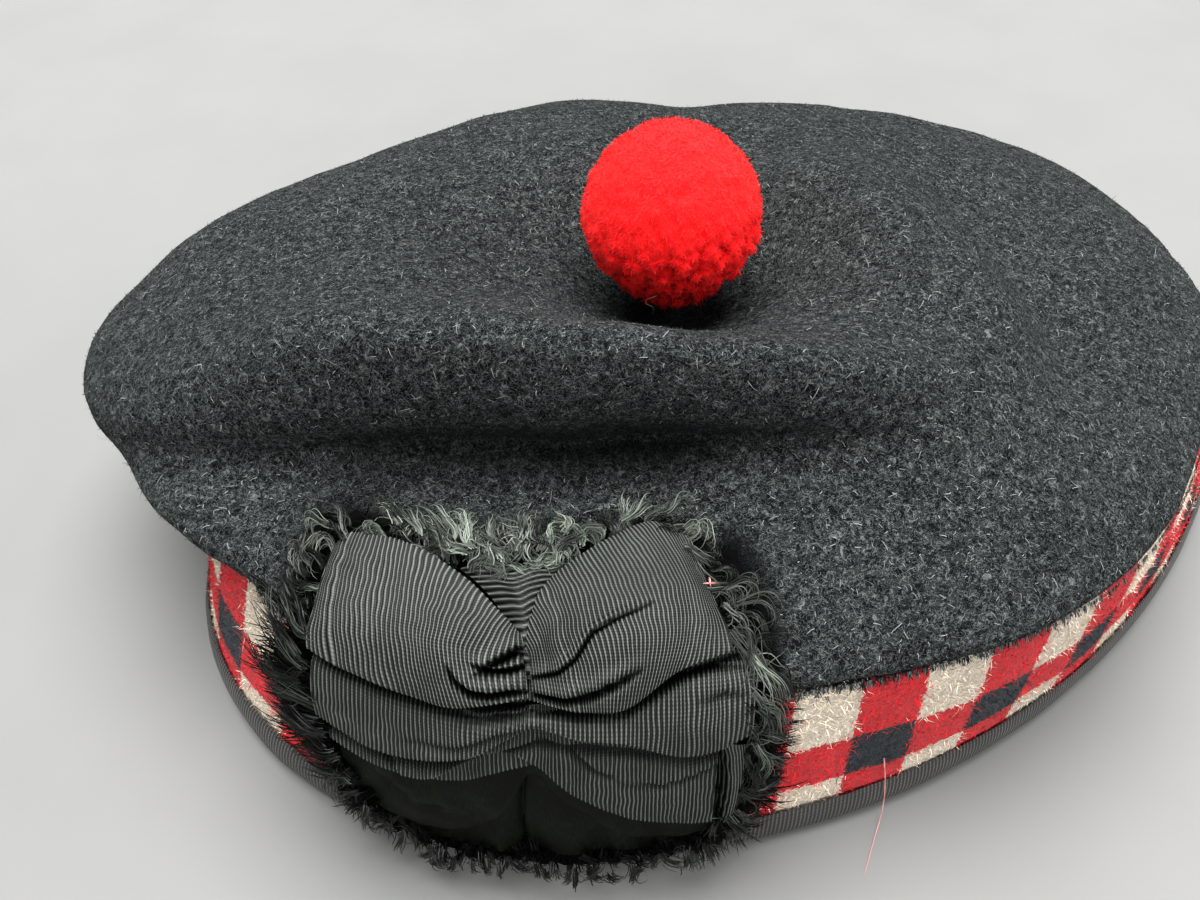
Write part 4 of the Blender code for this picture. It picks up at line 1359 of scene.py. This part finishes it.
UPPER_LEAVES = (
    (
        (-25.4, 28.6, 2.2), (-19.8, 27.4, 2.6), (-14.5, 26.6, 2.8), (-9.6, 27.2, 3.0), (-3.4, 28.2, 3.0),
        (0.9, 29.4, 2.4), (4.4, 28.6, 3.0), (12.0, 25.0, 3.0), (19.0, 23.0, 2.8), (25.2, 22.6, 2.4),
    ),
    (
        (-25.2, 21.6, 2.6), (-19.8, 20.6, 3.4), (-14.5, 19.6, 3.8), (-9.6, 19.8, 3.8), (-3.4, 23.0, 3.4),
        (0.9, 26.8, 2.6), (4.4, 24.8, 3.4), (12.0, 19.8, 3.8), (19.0, 18.0, 3.6), (25.2, 17.6, 2.8),
    ),
    (
        (-24.6, 13.4, 2.4), (-19.6, 11.6, 3.0), (-14.5, 11.0, 3.4), (-9.6, 12.2, 3.5), (-3.4, 17.2, 3.4),
        (0.9, 24.4, 2.6), (4.4, 21.5, 3.2), (12.0, 14.6, 3.5), (19.0, 12.9, 3.4), (25.6, 12.8, 2.6),
    ),
    (
        (-24.4, 14.0, 1.8), (-19.6, 12.4, 2.4), (-14.5, 11.8, 2.7), (-9.6, 13.0, 2.8), (-3.4, 18.0, 2.7),
        (0.9, 25.0, 2.0), (4.4, 22.2, 2.5), (12.0, 15.4, 2.8), (19.0, 13.7, 2.7), (25.4, 13.5, 2.0),
    ),
)
LOWER_LEAVES = (
    (
        (-23.6, 21.0, 1.4), (-18.6, 20.0, 1.8), (-13.5, 19.0, 2.0), (-8.6, 19.4, 2.0), (-3.4, 22.6, 2.2),
        (0.2, 26.4, 2.0), (3.4, 24.4, 2.2), (11.0, 19.0, 2.0), (18.0, 18.0, 1.9), (25.2, 17.8, 1.5),
    ),
    (
        (-23.8, 14.6, 1.6), (-18.6, 13.4, 2.1), (-13.5, 12.8, 2.4), (-8.6, 12.8, 2.5), (-3.4, 14.4, 2.6),
        (-0.1, 17.0, 1.8), (3.4, 15.0, 2.6), (11.0, 12.8, 2.5), (18.0, 12.4, 2.3), (25.4, 12.6, 1.7),
    ),
    (
        (-24.0, 10.8, 1.4), (-18.8, 8.6, 1.8), (-13.5, 7.9, 2.0), (-8.6, 7.9, 2.1), (-3.4, 8.2, 2.2),
        (-0.2, 8.6, 1.1), (3.4, 8.6, 2.2), (11.0, 8.9, 2.1), (18.0, 9.1, 1.9), (25.4, 10.2, 1.5),
    ),
)


def cockade_leaves():
    """The smooth ribbon leaves under the folds, the lower pair pinched along a middle seam."""
    upper = ribbon_panel(
        "cockade_upper_leaves", UPPER_LEAVES, 40, (5, 8, 3),
        [
            (((-22.0, 22.0), (-16.0, 17.5), (-9.0, 15.5)), 0.6, 1.0, 0.4),
            (((8.0, 22.0), (14.0, 18.4), (22.0, 16.0)), 0.6, 1.0, 0.4),
        ],
        rib_height=0.0, wave=0.8, seed=8,
    )
    lower = ribbon_panel(
        "cockade_lower_leaves", LOWER_LEAVES, 40, (5, 6),
        [(((0.1, 24.0), (-0.4, 16.0), (-0.2, 8.6)), 0.7, 0.45, 0.5)],
        rib_height=0.0, wave=0.7, seed=9,
    )
    for piece in (upper, lower):
        finish_piece(piece, [BLACK_SATIN])
    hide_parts("cockade_leaves")
    return upper, lower


# ---------------------------------------------------------------- frayed edge

# Frayed edge, round the cockade from the left foot: (u, w) of the roots, heading in degrees out from
# them (0 along +u, 90 up), length, curl in degrees over the lock, how strongly the thread crimps and
# how brightly it glints: a painted highlight, strongest on the lit top and lowest at the shaded foot.
# u runs along the hat's side, w up it, both in millimetres.
FRAY = (
    (-22.0, 15.0, 208, 7.0, 10, 0.1, 0.12), (-25.5, 22.0, 204, 8.5, 12, 0.1, 0.16),
    (-27.0, 30.0, 200, 8.5, -10, 0.15, 0.22), (-27.2, 37.0, 185, 7.5, -30, 0.3, 0.30),
    (-26.0, 43.0, 165, 5.5, -80, 0.6, 0.40), (-24.6, 48.6, 150, 6.6, 90, 0.9, 0.70),
    (-20.0, 51.0, 125, 6.0, 110, 1.0, 0.85), (-14.0, 51.4, 105, 5.8, 120, 1.0, 0.95),
    (-8.5, 50.8, 85, 6.0, 80, 1.0, 1.00), (-4.0, 51.2, 80, 5.5, -60, 1.0, 1.00),
    (0.5, 52.2, 85, 6.0, -80, 1.0, 1.00), (4.5, 52.8, 95, 5.5, 80, 1.0, 1.00),
    (9.0, 54.2, 105, 5.0, 100, 0.9, 0.85), (15.0, 56.2, 80, 5.0, -120, 0.9, 0.65),
    (20.5, 55.4, 50, 6.8, -150, 0.9, 0.75), (23.0, 50.4, 15, 6.0, -110, 0.7, 0.50),
    (25.0, 45.0, -10, 7.0, -60, 0.5, 0.50), (27.5, 40.0, -20, 7.5, -50, 0.4, 0.55),
    (28.8, 34.0, -30, 7.0, -40, 0.3, 0.42), (28.4, 26.0, -45, 7.5, -25, 0.2, 0.25),
    (27.0, 18.0, -55, 6.0, -15, 0.1, 0.15), (24.0, 12.0, -75, 4.5, 15, 0.2, 0.10),
    (14.0, 9.0, -90, 3.6, 18, 0.2, 0.06), (0.0, 8.4, -92, 3.2, -18, 0.2, 0.05),
    (-12.0, 8.0, -95, 3.6, 16, 0.2, 0.06), (-20.0, 10.0, -125, 4.5, -20, 0.2, 0.10),
    (-22.0, 15.0, -155, 6.0, 10, 0.1, 0.12),
)
MIDDLE_FRAY = (
    (-15.0, 52.0, 120, 6.5, 120, 0.9, 1.0), (-9.0, 51.2, 80, 7.0, 130, 1.0, 1.0),
    (-5.0, 51.2, 100, 5.5, -100, 1.0, 1.0), (-1.0, 52.2, 70, 6.0, 90, 1.0, 1.0),
    (4.0, 53.0, 95, 6.5, -100, 1.0, 1.0),
)

# The longer, straighter threads that stand out to the cockade's left and right
LEFT_FRAY = (
    (-21.0, 12.0, 214, 8.5, 14, 0.05, 0.16), (-25.0, 20.0, 207, 10.5, 14, 0.05, 0.22),
    (-26.5, 27.0, 202, 11.0, 12, 0.06, 0.26), (-27.0, 33.5, 196, 10.5, 8, 0.10, 0.30),
    (-27.0, 39.0, 188, 8.5, 0, 0.15, 0.34),
)
RIGHT_FRAY = (
    (23.0, 12.0, -66, 7.5, 8, 0.05, 0.16), (26.0, 17.0, -58, 9.0, -6, 0.06, 0.22),
    (28.0, 24.0, -50, 10.0, -14, 0.06, 0.26), (28.6, 31.0, -42, 9.5, -18, 0.10, 0.32),
    (28.2, 36.5, -32, 8.0, -24, 0.15, 0.40),
)


WILD_SHARE = 0.15  # threads that bend away from their lock
OFF_FLOOR = 0.3  # mm that every thread keeps off the floor
MATTED_THREADS = 4800


def frayed_locks(name, random, path, locks, threads, steps, lifts, inset, tangle, finish, widest):
    """Locks of frayed warp along a path, each a bundle of threads that wave together."""
    path = np.array(path, float)
    bearing = np.unwrap(np.radians(path[:, 2]))
    spacing = running_length(path[:, :2])
    place = (np.arange(locks) + random.uniform(-0.8, 0.8, locks)) / locks * spacing[-1] % spacing[-1]
    root_u, root_w, long, curl, crimp, painted_glint = (
        np.interp(place, spacing, path[:, i]) for i in (0, 1, 3, 4, 5, 6)
    )
    bearing = np.interp(place, spacing, bearing)
    heading = bearing + random.normal(0, tangle, locks)
    long = long * random.uniform(0.65, 1.12, locks)
    curl = np.radians(curl) * random.normal(1.15, 0.5, locks)
    inward = random.uniform(*inset, locks) * (0.5 + crimp)
    root_u = root_u - inward * np.cos(bearing)
    root_w = root_w - inward * np.sin(bearing)
    rate, phase = random.uniform(4, 9.5, locks), random.uniform(0, 6.28, locks)
    of = np.repeat(np.arange(locks), threads)
    total = len(of)

    def shared(values):
        """A lock's value at each of its threads, as a column."""
        return values[of][:, None]

    t = np.linspace(0, 1, steps)[None]
    turn = (heading[of] + random.normal(0, 0.10, total))[:, None] + shared(curl) * t**1.4
    turn = turn + (0.12 + 0.50 * shared(crimp)) * np.sin(shared(rate) * t + shared(phase))
    wild = np.where(random.random(total) < WILD_SHARE, 0.9, 0.12)
    turn = turn + (random.normal(0, 1, total) * wild)[:, None] * t
    step = (long[of] * random.uniform(0.7, 1.08, total))[:, None] / (steps - 1)
    spread = random.normal(0, 0.36, (total, 3)) * (0.6 + 0.5 * random.random(total))[:, None]
    u = shared(root_u) + np.cumsum(np.cos(turn) * step, 1) + spread[:, :1] * (1 - 0.45 * t)
    w = shared(root_w) + np.cumsum(np.sin(turn) * step, 1) + spread[:, 1:2] * (1 - 0.45 * t)
    arch = shared(random.uniform(-0.6, 1.6, locks)) * np.sin(t * 2.6)
    lift = shared(random.uniform(*lifts, locks)) + arch + spread[:, 2:] * 0.8 - 1.0 * t
    spine = draped(np.stack([u, np.maximum(w, 1.2), np.maximum(lift, 0.7)], -1))
    spine[..., 2] = np.maximum(spine[..., 2], OFF_FLOOR * MM)
    tone = random.beta(1.1, 1.2, locks)[of] * (0.15 + 1.5 * random.beta(0.6, 1.0, total))
    # painted highlight and shade: the locks' tones follow the brightness column of the path, bright on the
    # lit top, dark at the shaded foot
    tone = np.clip(tone * (painted_glint * random.uniform(0.6, 1.3, locks))[of], 0, 1)
    width = random.uniform(0.10, widest, total) * MM
    facing = unit(random.normal(0, 0.25, (total, 3)) + np.array([-0.4, -0.6, 0.7]))
    finish_piece(strands(name, spine, width, facing, tone), [finish])


LOCKS = (
    # name, path, locks, threads, steps, lifts, inset, tangle, finish, widest thread
    ("low_locks", FRAY, 400, 12, 9, (1.0, 3.2), (-0.8, 1.8), 0.5, SHADED_BLACK_THREAD, 0.17),
    ("high_locks", FRAY, 180, 16, 11, (3.0, 5.4), (-1.6, 1.4), 0.5, BLACK_THREAD, 0.17),
    ("middle", MIDDLE_FRAY, 54, 20, 11, (2.6, 4.8), (-1.0, 1.0), 0.7, BLACK_THREAD, 0.17),
    ("left_locks", LEFT_FRAY, 44, 15, 9, (1.4, 3.4), (-0.6, 3.6), 0.2, SHADED_BLACK_THREAD, 0.24),
    ("right_locks", RIGHT_FRAY, 44, 15, 9, (1.4, 3.4), (-0.6, 3.6), 0.2, SHADED_BLACK_THREAD, 0.24),
)


def cockade_fringe():
    """The frayed warp round the cockade: curled locks at the top, straighter below and darkened there by
    painted shade.
    """
    bed = cloth_copy("cockade_fringe", "cockade_fringe_bed", 1)
    set_points(bed.data, points_of(bed.data) - normals_of(bed.data) * 0.7 * MM)
    set_values(bed.data, "tone", np.full(len(bed.data.vertices), 0.2))
    finish_piece(bed, [DARK_BED])
    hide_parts("cockade_fringe")
    random = np.random.default_rng(41)
    count = MATTED_THREADS
    roots, out, _, _ = scatter(bed.data, count, random)
    lean = tangent_lean(out, random, 0.2)
    lengths = random.uniform(1.6, 4.0, count) * MM
    spines = fibre_spines(roots, out, lengths, lean, 0.2, random, 6, 0.25)
    spines[..., 2] = np.maximum(spines[..., 2], OFF_FLOOR * MM)
    tone = np.clip(random.beta(1.3, 3.2, count), 0, 1)
    width = random.uniform(0.14, 0.22, count) * MM
    side = unit(random.normal(size=(count, 3)))
    matted = strands("cockade_fringe_matted", spines, width, side, tone)
    finish_piece(matted, [SHADED_BLACK_THREAD])
    for name, *settings in LOCKS:
        frayed_locks("cockade_fringe_" + name, random, *settings)


# ---------------------------------------------------------------- stray threads

STRAY_THREADS = (
    # name, slot, finish, ply width, and points along the thread in hat millimetres
    (
        "toorie_pale_thread", "red_wool", PALE_YARN, 0.08,
        ((-25.6, -2.4, 47.2), (-26.1, -1.7, 46.6), (-26.2, -0.7, 45.6), (-26.0, -0.2, 44.4),
         (-25.0, -0.3, 43.4), (-24.0, 0.2, 42.0), (-23.6, 0.9, 40.4), (-22.6, 1.8, 38.6)),
    ),
    (
        "band_pink_thread", "diced_wool", PINK_YARN, 0.10,
        ((-34.8, -72.0, 14.6), (-34.7, -72.9, 11.8), (-34.4, -73.6, 8.6), (-34.6, -74.7, 4.6),
         (-35.2, -75.6, 1.4), (-36.6, -76.5, 0.5), (-39.8, -78.4, 0.4), (-43.0, -80.4, 0.4)),
    ),
)
PLY_STEPS = 26
STITCH = ((22.4, 48.3), (23.5, 48.0), (24.9, 48.2))
CROSS_STITCH = ((23.7, 49.1), (23.6, 48.2), (23.8, 47.3))


def stray_threads():
    """Loose ends of yarn by the toorie's foot and off the band, and the stitch at the right lobe's edge."""
    random = np.random.default_rng(57)
    rows = [(*row[:4], to_metres(np.array(row[4]))) for row in STRAY_THREADS]
    for name, line in (("cockade_stitch", STITCH), ("cockade_cross_stitch", CROSS_STITCH)):
        lifted = np.concatenate([np.array(line), [[4.6], [5.6], [4.6]]], 1)
        rows.append((name, "red_wool", PINK_YARN, 0.14, draped(lifted)))
    for name, slot_name, finish, width, points in rows:
        path = spline(points, np.linspace(0, len(points) - 1, PLY_STEPS))
        plies = path[None] + random.normal(0, 0.05 * MM, (3, 1, 3))
        plies = plies + random.normal(0, 0.02 * MM, (3, PLY_STEPS, 3))
        plies[..., 2] = np.maximum(plies[..., 2], 0.2 * MM)
        facing = unit(np.array([[-0.5, -0.6, 0.6], [-0.3, -0.7, 0.6], [-0.6, -0.4, 0.7]]))
        thread = strands(name, plies, np.full(3, width * MM), facing, np.array([0.5, 0.8, 1.0]))
        finish_piece(thread, [finish])


# ---------------------------------------------------------------- stage


def stage_and_camera():
    """Pale floor, soft light and the camera."""
    floor = bmesh.new()
    bmesh.ops.create_circle(floor, cap_ends=True, segments=128, radius=FLOOR_RADIUS)
    ground = placed("floor", mesh_from("floor", floor))
    material, tree, principled = new_material("pale_floor", Roughness=0.9, Specular_IOR_Level=0.2)
    soft = speckle(tree, object_place(tree), 30.0, 4.0, 0.5)
    colour(tree, principled, blended(tree, soft, *FLOOR_COLOURS))
    ground.data.materials.append(material)

    camera = bpy.data.cameras.new("camera")
    camera.lens, camera.sensor_width = CAMERA_LENS, CAMERA_SENSOR
    camera.clip_start = 0.005
    seen = placed("camera", camera)
    seen.location = to_metres(CAMERA_PLACE)
    seen.rotation_euler = (math.radians(90 - CAMERA_PITCH), 0, -math.radians(CAMERA_HEADING))
    bpy.context.scene.camera = seen

    for name, place, size, power in LAMPS:
        lamp = bpy.data.lights.new(name, "AREA")
        lamp.shape, lamp.size, lamp.energy = "DISK", size, power
        held = placed(name, lamp)
        held.location = to_metres(place)
        aim = Vector(to_metres((0, 0, 20))) - held.location
        held.rotation_euler = aim.to_track_quat("-Z", "Y").to_euler()
    world = bpy.data.worlds.new("soft_room")
    world.use_nodes = True
    background = world.node_tree.nodes["Background"]
    background.inputs[0].default_value = ROOM_COLOUR
    background.inputs[1].default_value = ROOM_STRENGTH
    bpy.context.scene.world = world
    bpy.context.scene.view_settings.view_transform = "Standard"
    bpy.context.scene.view_settings.look = "Medium High Contrast"


stage_and_camera()
crown = felt_crown()
band = diced_band()
felt_teeth()
binding = edge_binding()
toorie()
ribbons = cockade_ribbons()
leaves = cockade_leaves()
# painted shade: open values that darken the grosgrain of the cockade and binding in folds and creases
paint_fold_shade([*ribbons, *leaves], reach=3.2, low=0.08, high=0.92, power=1.7)
paint_fold_shade([binding], reach=4.0, low=0.0, high=1.0, power=1.0)
cockade_fringe()
stray_threads()
